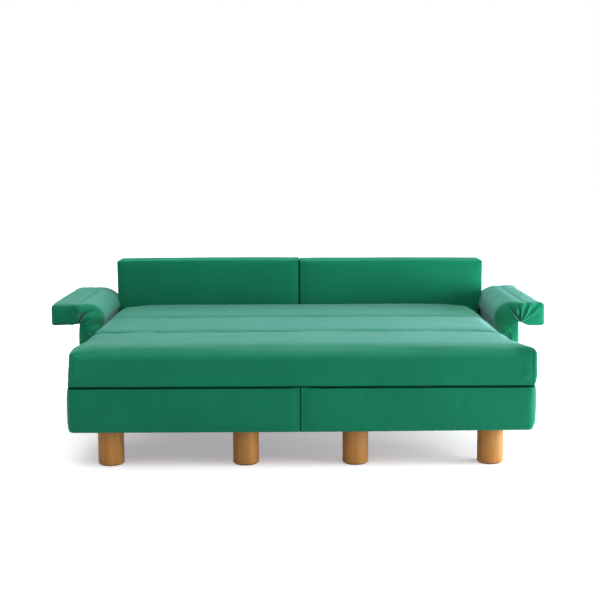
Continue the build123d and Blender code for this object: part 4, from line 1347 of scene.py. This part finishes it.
class SOFABED_OT_stage(bpy.types.Operator):
    """Makes the floor, the light and the camera"""

    bl_idname = "sofa_bed.stage"
    bl_label = "Floor, light and camera"

    def execute(self, context):
        scene = context.scene
        studio = scene.sofa_bed_studio
        scene.view_settings.view_transform = "Standard"
        self.floor()
        self.room(scene, studio.room)
        ceiling = bpy.data.lights.new("Ceiling", "SUN")
        ceiling.angle = CEILING_SPREAD
        ceiling.energy = studio.ceiling
        self.hang(ceiling, CEILING_PLACE, (0.0, 0.0, 0.0))
        for name, setting, size, place, target in WINDOWS:
            self.window(name, getattr(studio, setting), size, place, target)
        self.camera(scene, studio)
        return {"FINISHED"}

    def camera(self, scene, studio):
        """The camera of the main view."""
        data = bpy.data.cameras.new("Camera")
        data.lens = studio.lens
        data.sensor_width = 36
        camera = bpy.data.objects.new("Camera", data)
        camera.location = studio.camera_place
        camera.rotation_euler = studio.camera_turn
        scene.collection.objects.link(camera)
        scene.camera = camera

    def floor(self):
        """A wide floor that keeps the shadow and is lightened where the camera sees it."""
        reach, lift_strength = 30.0, 0.34
        grey, pale, lift = (0.60, 0.60, 0.61, 1), (0.96, 0.96, 0.96, 1), (0.97, 0.94, 1, 1)
        corners = np.array([[-1, -1, 0], [1, -1, 0], [1, 1, 0], [-1, 1, 0]]) * reach
        piece = mesh_piece("floor", corners, np.array([[0, 1, 2, 3]]))
        sheet = Sheet(bpy.data.materials.new("White floor"))
        seen = sheet.add("LightPath", out="Is Camera Ray")
        matt = sheet.add("BsdfDiffuse", {"Color": grey})
        white = sheet.add("BsdfDiffuse", {"Color": pale})
        glow = sheet.add("Emission", {"Color": lift, "Strength": lift_strength})
        both = sheet.add("AddShader", [white, glow])
        mix = sheet.add("MixShader", [seen, matt, both])
        sheet.add("OutputMaterial", {"Surface": mix})
        piece.data.materials.append(sheet.owner)

    def room(self, scene, strength):
        """White where the room is seen or mirrored, and a soft even light elsewhere."""
        sheet = Sheet(bpy.data.worlds.new("Room"))
        seen, mirrored, through = (
            sheet.add("LightPath", out=f"Is {kind} Ray")
            for kind in ("Camera", "Glossy", "Transmission")
        )
        even = sheet.add("Background", [(0.93, 0.96, 1, 1), strength])
        white = sheet.add("Background", [(1, 1, 1, 1), 1.0])
        white_seen = seen.larger(mirrored).larger(through)
        mix = sheet.add("MixShader", [white_seen, even, white])
        sheet.add("OutputWorld", {"Surface": mix})
        scene.world = sheet.owner

    def window(self, name, power, size, place, target):
        """A bright rectangle like a window, aimed at a point."""
        pane = bpy.data.lights.new(name, "AREA")
        pane.shape = "RECTANGLE"
        pane.size, pane.size_y = size
        pane.energy = power
        pane.color = WINDOW_COLOUR
        self.hang(pane, place, target)

    def hang(self, light, place, target):
        """Hangs a light at a place and aims it at another."""
        lamp = bpy.data.objects.new(light.name, light)
        lamp.location = place
        aim = Vector(target) - Vector(place)
        lamp.rotation_euler = aim.to_track_quat("-Z", "Y").to_euler()
        bpy.context.scene.collection.objects.link(lamp)


SETTINGS = {
    "sofa_bed_finishes": SofaBedFinishes,
    "sofa_bed_mattress": SofaBedMattress,
    "sofa_bed_boards": SofaBedBoards,
    "sofa_bed_arms": SofaBedArms,
    "sofa_bed_studio": SofaBedStudio,
}
OPERATORS = (
    SOFABED_OT_hardware, SOFABED_OT_mattress, SOFABED_OT_backs, SOFABED_OT_base,
    SOFABED_OT_arms, SOFABED_OT_legs, SOFABED_OT_stage,
)


class SOFABED_PT_panel(bpy.types.Panel):
    """Lists the sofa bed's settings and steps"""

    bl_idname = "SOFABED_PT_panel"
    bl_label = "Sofa Bed"
    bl_space_type = "VIEW_3D"
    bl_region_type = "UI"
    bl_category = "Sofa Bed"

    def draw(self, context):
        for name, group in SETTINGS.items():
            box = self.layout.box()
            for key in group.__annotations__:
                box.prop(getattr(context.scene, name), key)
        for operator in OPERATORS:
            self.layout.operator(operator.bl_idname)


def register():
    for name, group in SETTINGS.items():
        bpy.utils.register_class(group)
        setattr(bpy.types.Scene, name, bpy.props.PointerProperty(type=group))
    for operator in OPERATORS:
        bpy.utils.register_class(operator)
    bpy.utils.register_class(SOFABED_PT_panel)


def unregister():
    bpy.utils.unregister_class(SOFABED_PT_panel)
    for operator in reversed(OPERATORS):
        bpy.utils.unregister_class(operator)
    for name, group in SETTINGS.items():
        delattr(bpy.types.Scene, name)
        bpy.utils.unregister_class(group)


def main():
    register()
    for operator in OPERATORS:
        family, name = operator.bl_idname.split(".")
        getattr(getattr(bpy.ops, family), name)()
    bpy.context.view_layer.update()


if __name__ == "__main__":
    main()
